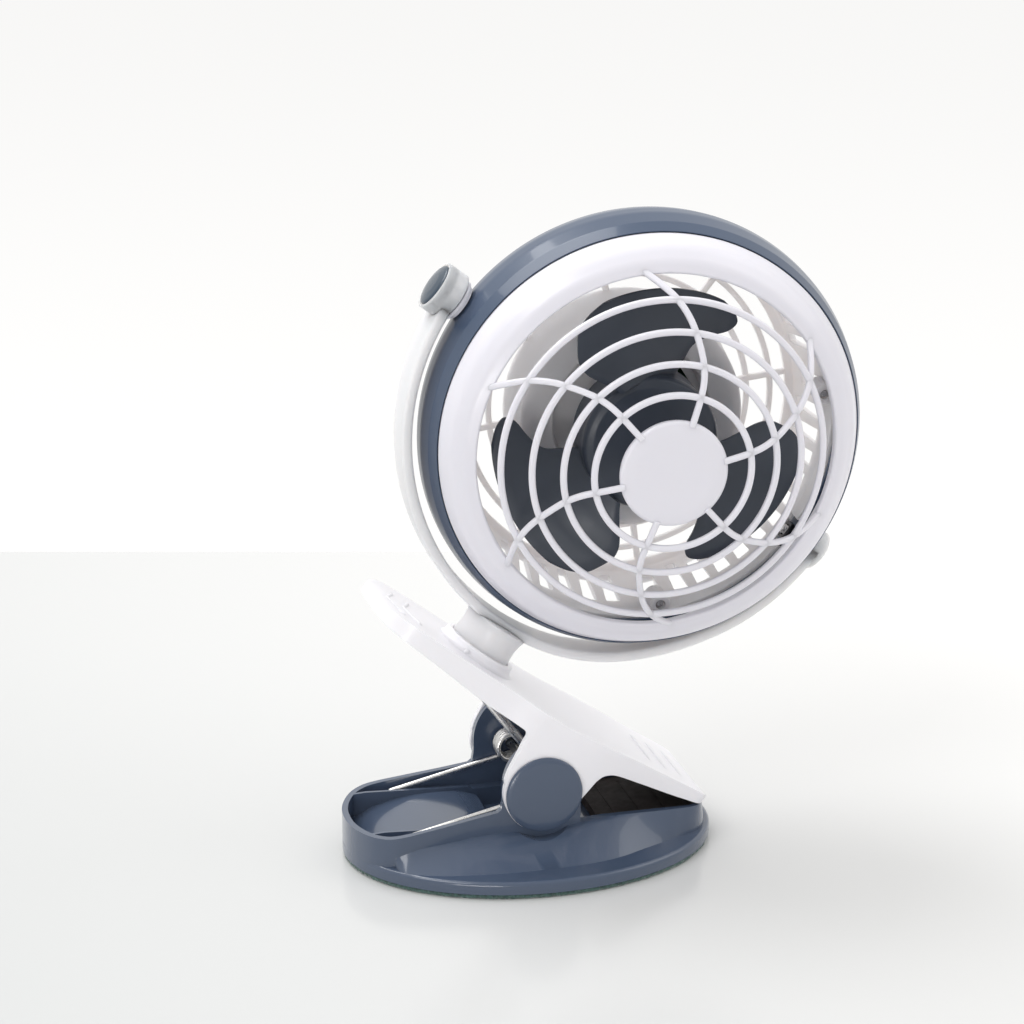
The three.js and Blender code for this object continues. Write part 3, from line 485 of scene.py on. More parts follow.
def base_solid():
    edge = [(0.0, 1.9), (0.0, 4.9), (0.12, 5.45), (0.42, 5.92), (0.9, 6.22), (1.5, 6.3)]
    flange = loft([oval(BASE_A - i, BASE_B - i, z) for i, z in edge])
    low, top = spline(crease, 5), spline(crown, 5)
    low[0].y = low[-1].y = top[0].y = top[-1].y = 0
    rings = []
    for t, h in ((0, None), (0, 0), (0.5, 0.5), (0.88, 0.91), (1, 1)):
        ring = []
        for a, b in zip(low, top):
            z = 4.0 if h is None else 6.27 + (b.z - 6.27) * h
            ring.append((a.x + (b.x - a.x) * t, a.y + (b.y - a.y) * t, z))
        rings.append([Vector(p) for p in both(ring)])
    mound = loft(rings)
    plan = curve_half(wall_half, 8, 5)
    side = [(-67, 2.6), (14.1, 2.6)] + [tuple(p) for p in spline(ear_top[:-1], 5)] + [(-14.5, 23.4)] + \
        [tuple(p) for p in spline([(-15.8, 22.3), (-26, 20.7), (-37, 19.1), (-54, 16.8), (-60, 16.4), (-67, 16)], 4)]
    walls = keep(prism(both(plan), 2.6, 50), prism(side, -30, 30, 'Y'))
    ob = join(flange, mound, walls)
    # ramped floor between two thin ribs, a groove for the spring leg outside each rib
    above = lambda line, y0, y1: prism(line + [(14.4, 60), (-67, 60)], y0, y1, 'Y')
    floor_line = [tuple(q) for q in spline(ramp, 5)] + [(-12.9, 8.6), (-12.2, 7.4), (14.4, 7.4)]
    hollow = join(above(floor_line, -17.4, 17.4), above(rib_top, -28, 28), block(-58.5, 14.4, 18.6, 28, 14.2, 60), block(-58.5, 14.4, -28, -18.6, 14.2, 60))
    ob = cut(ob, keep(prism(both(curve_half(inner_half, 8, 5)), 5, 60), hollow))
    jaw = both(fillet([(14.3, 20.4), (57, 20.4), (59.6, 15.6), (60.9, 7.8), (61.3, 0.01)], [0, 4, 6, 6, 0], 5, closed=False))
    ob = cut(ob, prism([(p[0], p[1]) for p in jaw], 7.4, 60))
    for s in (-1, 1):
        ob = cut(ob, shift(rod(17, *((24.0, 34) if s > 0 else (-34, -24.0)), n=96), 0, 0, PIN_Z))
        ob = cut(ob, prism([(14, 16.4), (17.2, 16.4), (15.1, 18.8), (14.2, 21.8)], *((20, 30) if s > 0 else (-30, -20)), 'Y'))
        q = [(-44, 28), (-34, 32.5), (-18, 35), (6, 35.2), (24, 31.5), (36, 27), (36, 25), (-44, 25.9)]
        ob = cut(ob, prism([(x, s * y) for x, y in q], 0, 5.6))
        q = [(-44, 26.2), (-38, 28.6), (-18, 31), (-6, 31), (4, 31), (20, 28.6), (30, 26), (30, 25), (-44, 25.6)]
        ob = cut(ob, prism([(x, s * y) for x, y in q], 0, 7.6))
    ob = cut(ob, shift(rod(1.85, -40, 40, 32), 0, 0, PIN_Z))
    tidy(ob, 0.01, 0.03)
    inside = lambda v: abs(v.y) < 21.3 and v.x < 14.5 and v.z > 6.8
    return bevel(ob, 0.38, 3, 30, pick=lambda a, b: min(a.z, b.z) > 15.4 or (inside(a) and inside(b)) or max(a.z, b.z) < 2.2)


piece("base_shell_moulding", base_solid(), "base", SLATE, ["base_shell"], sharp=27)


def felt():
    rings = []
    n = 1500
    for i, z in ((2.2, 0.0), (1.1, 0.02), (0.75, 0.25), (0.55, 0.6), (0.5, 1.0), (0.55, 1.4), (0.8, 1.75), (1.4, 1.8)):
        ring = []
        for p in oval(BASE_A - i, BASE_B - i, z, n):
            if 0 < z < 1.8:
                f = noise.noise(p * 0.7) * 0.2 + noise.noise(p * 2.2) * 0.28 + noise.noise(p * 5.5) * 0.22
                d = Vector((p.x - BASE_CX, p.y, 0)).normalized()
                p = p + d * min(f, 0.45)
                p.z = max(0.0, min(1.85, p.z + noise.noise(p * 3.1 + Vector((7, 3, 1))) * 0.18))
            ring.append(p)
        rings.append(ring)
    return loft(rings)


piece("felt_foot_pad", felt(), "base", FELT, ["foot_pad"], weighted=False)

pad = both([(24, 0), (24, 19.6), (56.4, 19.6), (58.9, 15.1), (60.2, 7.6), (60.6, 0)])
lower_pad = loft([[Vector((x, y, 7.75)) for x, y in pad], [Vector((x, y, 11.2 + 3.4 * (x - 24) / 36.6)) for x, y in pad]])
lower_pad = cut(lower_pad, merge([block(x - 0.35, x + 0.35, -15, 15, 11.0 + 3.4 * (x - 24) / 36.6, 20) for x in range(30, 58, 9)]))
piece("lower_jaw_grip", bevel(tidy(lower_pad), 0.35, 2), "base", RUBBER, ["lower_jaw_pad"])

pin = turn(fillet([(0, -27.9), (1.5, -27.9), (1.5, 27.9), (0, 27.9)], 0.35, 4), 40)
piece("hinge_pin", shift(pin, 0, 0, PIN_Z), "base", STEEL, ["pivot_pin"])
for side, s in (("front", -1), ("rear", 1)):
    pts = [(0, 28.9), (5, 28.85), (9.0, 28.72), (12.0, 28.48), (13.0, 28.2), (13.74, 27.75), (13.74, 27.3), (1.85, 27.3), (1.85, 28.2), (0, 28.2)]
    pts = [(r, s * y) for r, y in fillet(pts, [0, 20, 20, 6, 1.2, 0.6, 0.15, 0.1, 0.1, 0], 5)]
    piece("pin_cap_disc_" + side, shift(turn(pts, 128), 0, 0, PIN_Z), "base", SLATE, ["pin_cap_" + side])
    # torsion spring: leg in the groove, coil hanging on the pin, leg under the lever
    a0, a1, y0, y1, R = -76.7, 37 + 360 * 4, 20.2, 12.6, 4.85
    at = lambda a, y: Vector((-1.65 + R * math.cos(rad(a)), s * y, 30.6 + R * math.sin(rad(a))))
    path = [Vector((-46, s * y0, 15.15)), Vector((-45, s * y0, 15.386)), Vector((-24, s * y0, 20.34)), Vector((-4, s * y0, 25.06))]
    n = 150
    path += [at(a0 + (a1 - a0) * i / n, y0 + (y1 - y0) * i / n) for i in range(n + 1)]
    e, d = path[-1], Vector((math.cos(rad(a1 + 90)), 0, math.sin(rad(a1 + 90))))
    path += [e + d * 3, e + d * 24, e + d * 48, e + d * 49]
    # the whole wire is baked in place as one piece
    piece("torsion_spring_wire_" + side, wire(path, 0.88, 16), ("base", "lever", (0, 0, 0.0358), (0, 0, 0.047)), STEEL, ["torsion_spring_" + side], sharp=60, weighted=False)

# ================================================================== clip lever (clip frame: x = u, z = v)
PU = -H.x * math.cos(PHI) - (PIN_Z - H.z) * math.sin(PHI)
PV = -H.x * math.sin(PHI) + (PIN_Z - H.z) * math.cos(PHI)


def lever_solid():
    top = spline([(-46.4, -100.0), (-44.8, -98.9), (-41, -98), (-30, -97.9), (-10, -98), (33, -98), (45, -97.1), (60, -95.8), (80, -94.4), (94, -93.4), (96.2, -93.7), (97, -94.8)], 5)
    side = [tuple(p) for p in top] + [(96.8, -96.4), (95.4, -97.2)]
    side += [tuple(p) for p in spline([(95.4, -97.2), (82.7, -99.8), (70, -102), (60, -103.9), (57.9, -104.9), (56, -106.6), (54.9, -109.4)], 5)[1:]]
    in_clip = lambda x, z: ((x - H.x) * math.cos(PHI) - (z - H.z) * math.sin(PHI), (x - H.x) * math.sin(PHI) + (z - H.z) * math.cos(PHI))
    # round cheeks, close to the pin's cap except at the handle side
    for i in range(61):
        a = 20 - 182 * i / 60
        k = min(1, max(0, (-110 - a) / 52))
        r = 13.9 + 0.7 * k * k * (3 - 2 * k)
        side.append((PU + r * math.cos(rad(a)), PV + r * math.sin(rad(a))))
    side += [tuple(p) for p in spline([in_clip(x, z) for x, z in ((-13.9, 35.0), (-12.7, 38.4), (-11.2, 41.3), (-8.9, 45.6), (-7.4, 48.6))] + [(22.9, -108.3), (21.3, -107.2)], 5)]
    side += [tuple(p) for p in spline([(18.5, -107.1), (5.2, -107.1), (-13, -105.4), (-30.2, -103.9), (-39.6, -103.3), (-46.2, -101.9)], 4)]
    half = spline([(-46.5, 0), (-46, 5), (-45, 10), (-43, 14.6), (-39.5, 18.6), (-35, 21.4), (-30, 22.8), (-20, 23.4), (0, 23.6), (12, 24.3), (21, 26.4), (25, 27.0)], 5)
    half = [tuple(p) for p in half] + [tuple(p) for p in spline([(40, 27.0), (49, 26.8), (57, 26.1), (66, 24.9), (78, 23.4), (90, 22.3), (94.4, 21.8), (96.6, 20.0), (97.2, 16), (97.2, 0)], 5)]
    ob = keep(prism(side, -30, 30, 'Y'), prism(both([(x, abs(y)) for x, y in half]), -140, -90))
    tidy(ob, 0.01, 0.03)
    # soft shoulder round the top edge
    up = lambda x: lerp([(-47, -100.6), (-41, -98), (33, -98), (60, -95.8), (80, -94.4), (98, -93.2)], x)
    bevel(ob, 2.7, 6, 30, pick=lambda a, b: abs(a.z - up(a.x)) < 1.3 and abs(b.z - up(b.x)) < 1.3 and max(abs(a.y), abs(b.y)) > 3 and min(a.x, b.x) < 96.0)
    cav = spline([(-44.2, 0), (-43.7, 4.6), (-42.8, 9), (-40.9, 13.2), (-37.9, 16.8), (-33.9, 19.4), (-29, 20.7), (-20, 21.3), (0, 21.5), (12, 22.2), (19.5, 24.1), (22, 24.35)], 4)
    cav = [tuple(p) for p in cav] + [tuple(p) for p in spline([(58, 24.35), (61, 23.3), (66, 22), (78, 20.9), (90, 20.2), (94, 19.8), (94.9, 18.4), (95, 0)], 3)]
    cside = [(-46, -100.9), (-41, -100.1), (33, -100.1), (45, -99.3), (60, -98), (80, -96.6), (96, -95.5), (96, -150), (-46, -150)]
    ob = cut(ob, keep(prism(cside, -30, 30, 'Y'), prism(both([(x, abs(y)) for x, y in cav]), -150, -90)))
    tidy(ob, 0.01, 0.03)
    bevel(ob, 0.35, 3, 34, pick=lambda a, b: min(a.z, b.z) < up(a.x) - 1.6)
    # stiffening ribs under the handle
    for y in (-9.8, 9.8):
        ob = join(ob, block(-40, 18, y - 0.7, y + 0.7, -102.6, -99.4))
    ob = cut(ob, rod(4.4, -110, -90, 40, 'Z'))
    ob = cut(ob, shift(rod(1.85, -40, 40, 32), PU, 0, PV))
    # collar round the neck, boss under the swivel, bump on the collar's front
    collar = fillet([(11.75, -99), (15.6, -99), (15.6, -98.25), (14.1, -97.2), (13.72, -95.9), (13.7, -94.6), (11.75, -94.6)], [0, 0, .3, 2.5, 3, .7, .4], 5)
    boss = fillet([(4.4, -101.4), (12.8, -101.4), (12.8, -99.2), (4.4, -99.2)], [.2, .3, 0, 0], 3)
    nub = turn(fillet([(0, -99), (1.9, -99), (1.2, -96.5), (0, -96.2)], [0, 0, .9, 0], 5), 32, 'Z')
    parts = [ob, turn(collar, 160, 'Z'), turn(boss, 96, 'Z'), shift(nub, -7.3, -11.2, 0)]
    # grip ridges: chevrons on the handle, straight ribs near the jaw
    for u in (-36, -29):
        for s in (-1, 1):
            p = [Vector((u - 2.6, 0, -98.3)), Vector((u - 2.5, s * 1.2, -98.3)), Vector((u - 0.4, s * 6, -98.3)), Vector((u + 1.7, s * 11, -98.35)), Vector((u + 1.95, s * 11.8, -98.8))]
            parts.append(sweep(spline(p, 5), ngon(0.8, 20), lambda p, i: (0, 0, 1)))
    for u in (74, 81, 88):
        z = up(u) - 0.62
        p = [Vector((u, -13.2, z - 0.6)), Vector((u, -12.2, z)), Vector((u, 12.2, z)), Vector((u, 13.2, z - 0.6))]
        parts.append(sweep(spline(p, 5), ngon(0.8, 20), lambda p, i: (0, 0, 1)))
    return merge(parts)


piece("lever_moulding", lever_solid(), "lever", WHITE_CLIP_PAINTED_LIGHT, ["clip_lever"], at=CLIP, sharp=30)
upper_pad = prism([(64, -98.1), (92.6, -96.15), (93.2, -98.9), (64, -104.3)], -18, 18, 'Y')
piece("upper_jaw_grip", bevel(upper_pad, 0.5, 3), "lever", RUBBER, ["upper_jaw_pad"], at=CLIP)
washer = turn(fillet([(2, -101.75), (8.6, -101.75), (8.6, -102.95), (2, -102.95)], 0.25, 3), 80, 'Z')
piece("swivel_flat_washer", washer, "yoke", SCREW, ["swivel_washer"], at=CLIP)


def cross(r, depth, z, n_axis='Z', w=0.75):
    """cross recess cutter, point at z going down by depth"""
    a = prism([(-r, -w / 2), (r, -w / 2), (r * 0.35, w / 2), (-r * 0.35, w / 2)], -w / 2, w / 2, 'Y')
    kill(a)
    bars = []
    for q in ((r, w / 2), (w / 2, r)):
        rings = [[Vector((-x, -y, z + 0.4)), Vector((x, -y, z + 0.4)), Vector((x, y, z + 0.4)), Vector((-x, y, z + 0.4))] for x, y in [q]]
        x, y = q[0] * 0.45 if q[0] > q[1] else q[0], q[1] * 0.45 if q[1] > q[0] else q[1]
        rings.append([Vector((-x, -y, z - depth)), Vector((x, -y, z - depth)), Vector((x, y, z - depth)), Vector((-x, y, z - depth))])
        bars.append(loft(rings))
    return join(bars[0], bars[1])


def screw(head_r, head_h, shank_r, length, pitch=0.9, tip=False):
    """pan head screw along -Z, the underside of the head at z = 0"""
    pts = [(0, head_h), (head_r * 0.55, head_h * 0.96), (head_r * 0.88, head_h * 0.7), (head_r, head_h * 0.25), (head_r, 0), (shank_r, 0)]
    n = int(length / (pitch / 2))
    for i in range(n + 1):
        pts.append((shank_r if i % 2 else shank_r * 0.78, -0.3 - (length - 0.3) * i / n))
    pts.append((0, -length - (0.4 if tip else 0)))
    ob = turn(fillet(pts, [0] + [head_r * 0.4, head_r * 0.25, 0.15, 0.1] + [0] * (len(pts) - 5), 4), 48, 'Z')
    return cut(ob, cross(head_r * 0.62, head_h * 0.75, head_h))


sw = mv(screw(4.0, 1.95, 1.5, 11.4), Matrix.Rotation(math.pi, 4, 'X'))
piece("swivel_pan_screw", shift(sw, 0, 0, -103.25), "yoke", SCREW, ["swivel_screw"], at=CLIP)

# ================================================================== yoke (clip frame)
YO, YI = 85.35, 81.6


def yoke_solid():
    yr = (YO + YI) / 2
    path = []
    for i in range(141):
        deg = -180 + 180 * i / 140
        k = min(1.0, max(0.0, (deg + 76) / 42))          # the right arm runs closer to the head
        r = yr - 3.0 * k * k * (3 - 2 * k)
        path.append((r * math.cos(rad(deg)), 0, r * math.sin(rad(deg))))
    ob = sweep(path, rrect(15.0, YO - YI, 0.9, 5), lambda p, i: Vector((p.x, 0, p.z)).normalized())
    ob = cut(ob, rod(2.25, -95, 95, 32, 'X'), rod(5.2, 81.9, 95, 64, 'X'), rod(6.2, 75, 80.2, 64, 'X'))
    # deep boss on the left, flush boss on the right, waisted neck and its spigot
    left = fillet([(2.25, YI), (8.8, YI), (8.8, 89.9), (7.95, 89.9), (7.95, 86), (2.25, 86)], [.2, .5, .5, .25, .2, .1], 4)
    right = fillet([(6.2, 78.6), (7.5, 78.6), (7.5, 84.6), (5.2, 84.6), (5.2, 81.9), (6.2, 80.2)], [.1, .4, .7, .3, 0, 0], 4)
    neck = fillet([(1.9, -97.5), (11.5, -97.5), (11.4, -94), (11.1, -91.4), (11.1, -89.2), (11.35, -87), (11.8, -85.4), (11.9, -84.4), (0, -83.0), (0, -91), (1.9, -91)],
                  [.1, .3, 4, 8, 8, 8, 3, .3, 0, 0, .1], 4)
    spigot = fillet([(1.9, -101.35), (3.9, -101.35), (3.9, -97), (1.9, -97)], [.15, .25, 0, 0], 3)
    return merge([ob, turn([(r, -x) for r, x in left], 128, 'X'), turn(right, 128, 'X'), turn(neck, 160, 'Z'), turn(spigot, 48, 'Z')])


piece("half_ring_yoke", yoke_solid(), "yoke", WHITE_YOKE, ["yoke"], at=CLIP)
for side, s in (("left", -1), ("right", 1)):
    f = lambda pts: [(r, s * x) for r, x in pts]
    spacer = [(2.3, 78.55), (6.4, 78.55), (6.4, 79.8), (7.4, 79.8), (7.4, 80.95), (2.3, 80.95)] if s < 0 else [(2.3, 78.4), (5.9, 78.4), (5.9, 79.9), (2.3, 79.9)]
    piece("pivot_spacer_washer_" + side, turn(f(fillet(spacer, 0.2, 3)), 72, 'X'),
          "yoke", WHITE, ["pivot_spacer_" + side], at=CLIP)
    m = Matrix.Rotation(rad(90 * s), 4, 'Y')
    seat, high = (86.35, 1.65) if s < 0 else (82.05, 1.3)
    piece("pivot_pan_screw_" + side, mv(mv(screw(3.9, high, 1.85, seat - 67.65), m), Matrix.Translation((s * seat, 0, 0))), "yoke", SCREW, ["pivot_screw_" + side], at=CLIP)
    cap = fillet([(0, 88.6), (7.6, 88.6), (7.6, 89.9), (6.6, 90.4), (4, 90.95), (0, 91.2)], [0, .2, .9, 3, 8, 0], 5)
    if s > 0:
        cap = fillet([(0, 83.65), (4.9, 83.65), (4.9, 84.45), (3.4, 84.57), (0, 84.6)], [0, .15, .3, 3, 0], 5)
    piece("pivot_cap_disc_" + side, turn(f(cap), 96, 'X'), "yoke", SLATE_CAP_PAINTED_SHADE, ["pivot_cap_" + side], at=CLIP)

# ================================================================== head (front is -y)
grille_curve = [(18.2, -50.1), (26.7, -48.7), (36.4, -45.7), (46.1, -41.6), (55.5, -36), (62.8, -29), (66, -26.6)]
swirl = [(17, 48.7), (30, 49), (36, 51), (42, 54.5), (50, 59.5), (55.5, 64), (60, 69), (63, 72.5), (65, 74.5)]
GC = [tuple(p) for p in spline(grille_curve, 6)]
SW = [tuple(p) for p in spline(swirl, 6)]


def grille_solid():
    bezel = fillet([(73.4, -18.2), (73.4, -17), (71.6, -17), (71.6, -8.5), (70.2, -8.5), (70.2, -19.9), (68.6, -23.3), (63.6, -26.7), (61.9, -26.3), (62.3, -28.9), (66.4, -27.7), (70.6, -24.2)],
                   [.4, .2, .2, .3, .3, 2, 3, 1, .3, .8, 7, 9], 6)
    parts = [turn(bezel, 300)]
    disc = fillet([(0, -51.05), (14, -50.95), (17.6, -50.4), (18.4, -49.6), (18.2, -47.9), (16.6, -47.9), (16.2, -49.2), (0, -49.2)], [0, 30, 1.4, .8, .3, .2, .3, 0], 6)
    parts.append(turn(disc, 160))
    for r, y in [(26.7, -48.7), (36.4, -45.7), (46.1, -41.6), (55.5, -36)]:
        sec = [(r + dx, y + 0.05 + dy) for dx, dy in rrect(2.3, 2.0, 0.85, 5)]
        parts.append(turn(sec, 200))
    for k in range(6):
        path = []
        for i in range(41):
            r = 17 + (64.0 - 17) * i / 40
            a = rad(lerp(SW, r) + 60 * k)
            y = lerp(GC, r) + max(0, r - 60) * 0.25 - 0.05
            path.append(Vector((r * math.cos(a), y, r * math.sin(a))))
        parts.append(sweep(path, rrect(2.2, 1.9, 0.8, 4), lambda p, i: Vector((p.x * 0.55, -60, p.z * 0.55)).normalized()))
    return merge(parts)


piece("grille_moulding", grille_solid(), "head", WHITE, ["front_grille"], at=HEAD, sharp=50)


def ring_solid():
    prof = [(73.75, -18.4), (76.2, -13.2), (77.8, -6.2), (78.1, -1), (77.2, 4.4), (75.2, 7.9), (72.2, 7.9), (72.2, -4.2), (70.2, -4.2), (70.2, -6), (72.2, -6), (72.2, -16.6), (73.75, -16.6)]
    ob = turn(fillet(prof, [.5, 3, 14, 14, 9, .7, .3, .2, .3, .3, .2, .2, .1], 8), 300)
    ob = join(ob, rod(5.4, 71.7, 77, 64, 'X'), rod(5.4, -77, -71.7, 64, 'X'))
    return cut(ob, rod(2.3, -90, 90, 32, 'X'))


piece("slate_head_ring", ring_solid(), "head", SLATE_RING, ["housing_ring"], at=HEAD)
for side, s in (("left", -1), ("right", 1)):
    nut = cut(prism(ngon(3.8, 6), 0, 2.3), rod(2.2, -5, 5, 32, 'Z'))
    m = Matrix(((0, 0, 1, 0), (1, 0, 0, 0), (0, 1, 0, 0), (0, 0, 0, 1)))
    piece("pivot_hex_nut_" + side, shift(mv(bevel(nut, 0.2, 2), m), 69.1 if s > 0 else -71.4), "head", NUT, ["pivot_nut_" + side], at=HEAD)

SLOTS = 50


def cover_solid():
    prof = [(71.75, -3.6), (71.75, 3.2), (70.4, 6.2), (66.6, 27.4), (64.4, 30.2), (61.8, 30.2), (61.8, 27.9), (64.4, 26), (69.2, 2.6), (69.2, -3.6)]
    ob = turn(fillet(prof, [.3, 1.5, 3, 3, 1.2, .3, .3, 1.5, 2, .3], 5), 400)
    slots = []
    for k in range(SLOTS):
        a = 360 / SLOTS * k
        off = abs((a % 90) - 45)
        if off < 8:
            continue
        rings = []
        for x, w, w2 in ((60, 2.3, 1.7), (73, 2.85, 2.15)):
            out = fillet([(7, -w), (23.4, -w2), (23.4, w2), (7, w)], 0.6, 3)
            rings.append([Vector((x, y, z)) for y, z in out])
        slots.append(spin(loft(rings), a))
    ob = cut(ob, merge(slots))
    pos = lambda o, a: spin(shift(o, 67, 0, 0), a)
    for a in (45, 135, 225, 315):
        ob = join(ob, pos(turn(fillet([(0, -3.5), (3.7, -3.5), (3.7, 6.4), (0, 6.4)], [0, .35, .2, 0], 4), 48), a))
    for a in (45, 135, 225, 315):
        ob = cut(ob, pos(rod(3.2, 6.4, 20, 40), a), pos(rod(1.75, -10, 10, 32), a))
    ob = cut(ob, block(66, 73, -6, 4.2, -5.8, 5.8), block(-73, -66, -6, 4.2, -5.8, 5.8))
    bars = [turn([(r + dx, y + dy) for dx, dy in rrect(2.2, 2.2, 0.7, 4)], 200) for r, y in ((56.3, 29.2), (47.6, 29.6))]
    ob = merge([ob] + bars)
    for k in range(8):
        ob = join(ob, spin(prism([(y, z) for y, z in fillet([(27.9, -1.15), (30.3, -1.15), (30.3, 1.15), (27.9, 1.15)], 0.5, 3)], 41.0, 63.4, 'X'), 45 * k))
    drum = fillet([(39.9, 9), (42.4, 30), (40.2, 30), (37.6, 11.2), (30.2, 11.2), (29.6, 17.6), (14.9, 17.6), (14.9, 23.5), (12.6, 23.5), (12.6, 15.2), (27.6, 15.2), (28.4, 9)],
                  [1.0, .3, .3, .5, .5, .5, .3, .3, .2, .3, .5, .8], 5)
    ob = join(ob, turn(drum, 240))
    ob = cut(ob, spin(block(17.5, 24.5, 10, 20, -4, 4), 70))
    for a in (30, 150, 270):
        ob = join(ob, spin(shift(rod(3.2, 10, 29.6, 32, rnd=0.2), 33.5), -a))
        ob = cut(ob, spin(shift(rod(1.5, 18, 35, 24), 33.5), -a))
    return ob


piece("rear_cover_moulding", cover_solid(), "head", WHITE_CAGE_PAINTED_LIGHT, ["rear_cover"], at=HEAD)


def back_cap_solid():
    prof = [(0, 39), (26, 38.6), (35, 36.8), (39.5, 34.2), (41.4, 30.6), (39.4, 30.6), (37.8, 33), (34, 34.9), (26, 36.6), (0, 37)]
    ob = turn(fillet(prof, [0, 60, 9, 5, .4, .3, 2, 4, 20, 0], 8), 200)
    at = lambda o, a: spin(shift(o, 33.5), -a)
    for a in (30, 150, 270):
        ob = join(ob, at(rod(4.5, 30.6, 36.0, 48), a))
        ob = cut(ob, at(rod(1.8, 25, 45, 24), a), at(rod(3.3, 32.8, 45, 48), a))
    ob = cut(ob, prism(rrect(14.8, 12.8, 0.8, 4), 30, 45, 'Y') if False else shift(prism(rrect(14.8, 12.8, 0.8, 4), 30, 45, 'Y'), 0, 0, 16))
    ob = cut(ob, shift(prism(rrect(9.8, 4.8, 1.0, 4), 30, 45, 'Y'), 0, 0, -23.8))
    for x in (-8, 0, 8):
        ob = cut(ob, shift(prism(rrect(2.4, 12, 1.15, 5), 33, 45, 'Y'), x, 0, -4))
    tidy(ob, 0.01, 0.05)
    return bevel(ob, 0.25, 2, 50)


piece("back_cap_moulding", back_cap_solid(), "head", WHITE, ["back_cap"], at=HEAD)
TO_BACK = Matrix.Rotation(rad(-90), 4, 'X')          # screw along +Z turned so that its head faces +y
for i, a in enumerate((30, 150, 270)):
    o = mv(screw(2.8, 1.75, 1.2, 11.4, 0.8), TO_BACK)
    piece(f"back_cap_pan_screw_{i + 1}", spin(shift(o, 33.5, 33.15), -a), "head", SCREW, [f"back_cap_screw_{i + 1}"], at=HEAD)
for i, a in enumerate((45, 135, 225, 315)):
    o = mv(screw(2.7, 1.85, 1.3, 9.2, 0.8), TO_BACK)
    piece(f"case_pan_screw_{i + 1}", spin(shift(o, 67, 6.75), -a), "head", SCREW, [f"case_screw_{i + 1}"], at=HEAD)

can = turn(fillet([(1.6, -11.4), (3.4, -11.4), (3.4, -9.8), (11.2, -9.8), (12.2, -9), (12.2, 20.4), (11.1, 20.4), (11.1, -8.6), (1.6, -8.6)], [.1, .3, .3, .8, .8, .2, .2, .5, .1], 4), 96)
piece("motor_can_drawn", can, "head", CAN, ["motor_can"], at=HEAD)
end = turn(fillet([(0, 20.8), (11.9, 20.8), (11.9, 22.2), (4.2, 22.2), (4.2, 23.4), (0, 23.4)], [0, .2, .3, .3, .3, 0], 3), 80)
piece("motor_end_bell", end, "head", DARK, ["motor_end_cap"], at=HEAD)
sbody = cut(block(-9, 9, 28.6, 36.2, 8.2, 23.8), block(-6.9, 6.9, 31, 45, 10.1, 21.9))
piece("switch_frame", bevel(sbody, 0.3, 2), "head", DARK, ["switch_body"], at=HEAD)
sock = shift(prism(rrect(9.0, 4.2, 1.2, 5), 28.6, 38, 'Y'), 0, 0, -23.8)
sock = cut(sock, shift(prism(rrect(7.6, 2.8, 0.8, 5), 31.5, 45, 'Y'), 0, 0, -23.8))
sock = join(sock, block(-2.6, 2.6, 31.0, 36.6, -24.15, -23.4))
piece("inlet_shell", bevel(tidy(sock, 0.01), 0.12, 2), "head", SCREW, ["inlet_socket"], at=HEAD)
rocker = keep(prism([(-5.6, 10.7), (5.6, 10.7), (5.6, 21.3), (-5.6, 21.3)], 33.2, 40.6, 'Y'),
              prism([(33.2, 10), (33.2, 22), (40.4, 22), (39.9, 19.5), (39.1, 17), (38.9, 16), (39.1, 15), (39.9, 12.5), (40.4, 10)], -10, 10, 'X'))
piece("rocker_cap", bevel(tidy(rocker), 0.45, 4, 25), "switch", SLATE, ["switch_rocker"], at=HEAD)
for nm, mat, s in (("red", RED, 1), ("black", BLACK, -1)):
    pts = spline([(s * 6, 23.2, 3), (s * 8, 24.6, 5), (s * 11, 25.2, 9), (s * 13, 25.5, 13)], 10)
    piece("motor_wire_" + nm, wire(pts, 0.6, 14), "head", mat, ["motor_lead_" + nm], at=HEAD, weighted=False)


def impeller_solid():
    hub = fillet([(0, -20.1), (20.6, -20.1), (23, -19.2), (23.8, -17.4), (23.8, -1.6), (22.2, -1.6), (22.2, -17.2), (20.8, -18.4), (3.6, -18.4), (3.6, -12.2), (1.3, -12.2), (1.3, -17.6), (0, -17.6)],
                 [0, 2, 2, 2, .4, .4, 1, 1, .4, .3, .1, .1, 0], 5)
    ob = turn(hub, 160)
    sec = [(22.6, 104.5, 159), (30, 103.5, 166), (35.5, 102.4, 169.6), (40.5, 96.5, 169.6), (45.5, 89.8, 165.5), (49.5, 88.6, 161.5), (52, 92, 156), (53.8, 99, 148)]
    fine = spline([Vector(s) for s in sec], 4)
    m = 22
    for k in range(3):
        rings = []
        for j, (r, a, b) in enumerate(fine):
            th = 0.95 if r < 50 else 0.95 - 0.25 * (r - 50) / 3.3
            top, bot = [], []
            for i in range(m + 1):
                f = i / m
                t = a + (b - a) * f
                edge = min(f, 1 - f) * m
                h = th * math.sqrt(max(0.0, 1 - (1 - min(1, (edge + 0.15) / 1.4)) ** 2))
                camber = -1.1 * math.sin(math.pi * f)
                y = -16 - 0.2 * (t - 131) + camber * 0.6
                cx, cz = r * math.cos(rad(t - 1.5)), r * math.sin(rad(t - 1.5))
                top.append(Vector((cx, y - h, cz)))
                bot.append(Vector((cx, y + h, cz)))
            rings.append(top + bot[::-1])
        ob = join(ob, spin(loft(rings), 120 * k))
    return ob


piece("impeller_moulding", impeller_solid(), "impeller", IMPELLER, ["impeller"], at=HEAD)

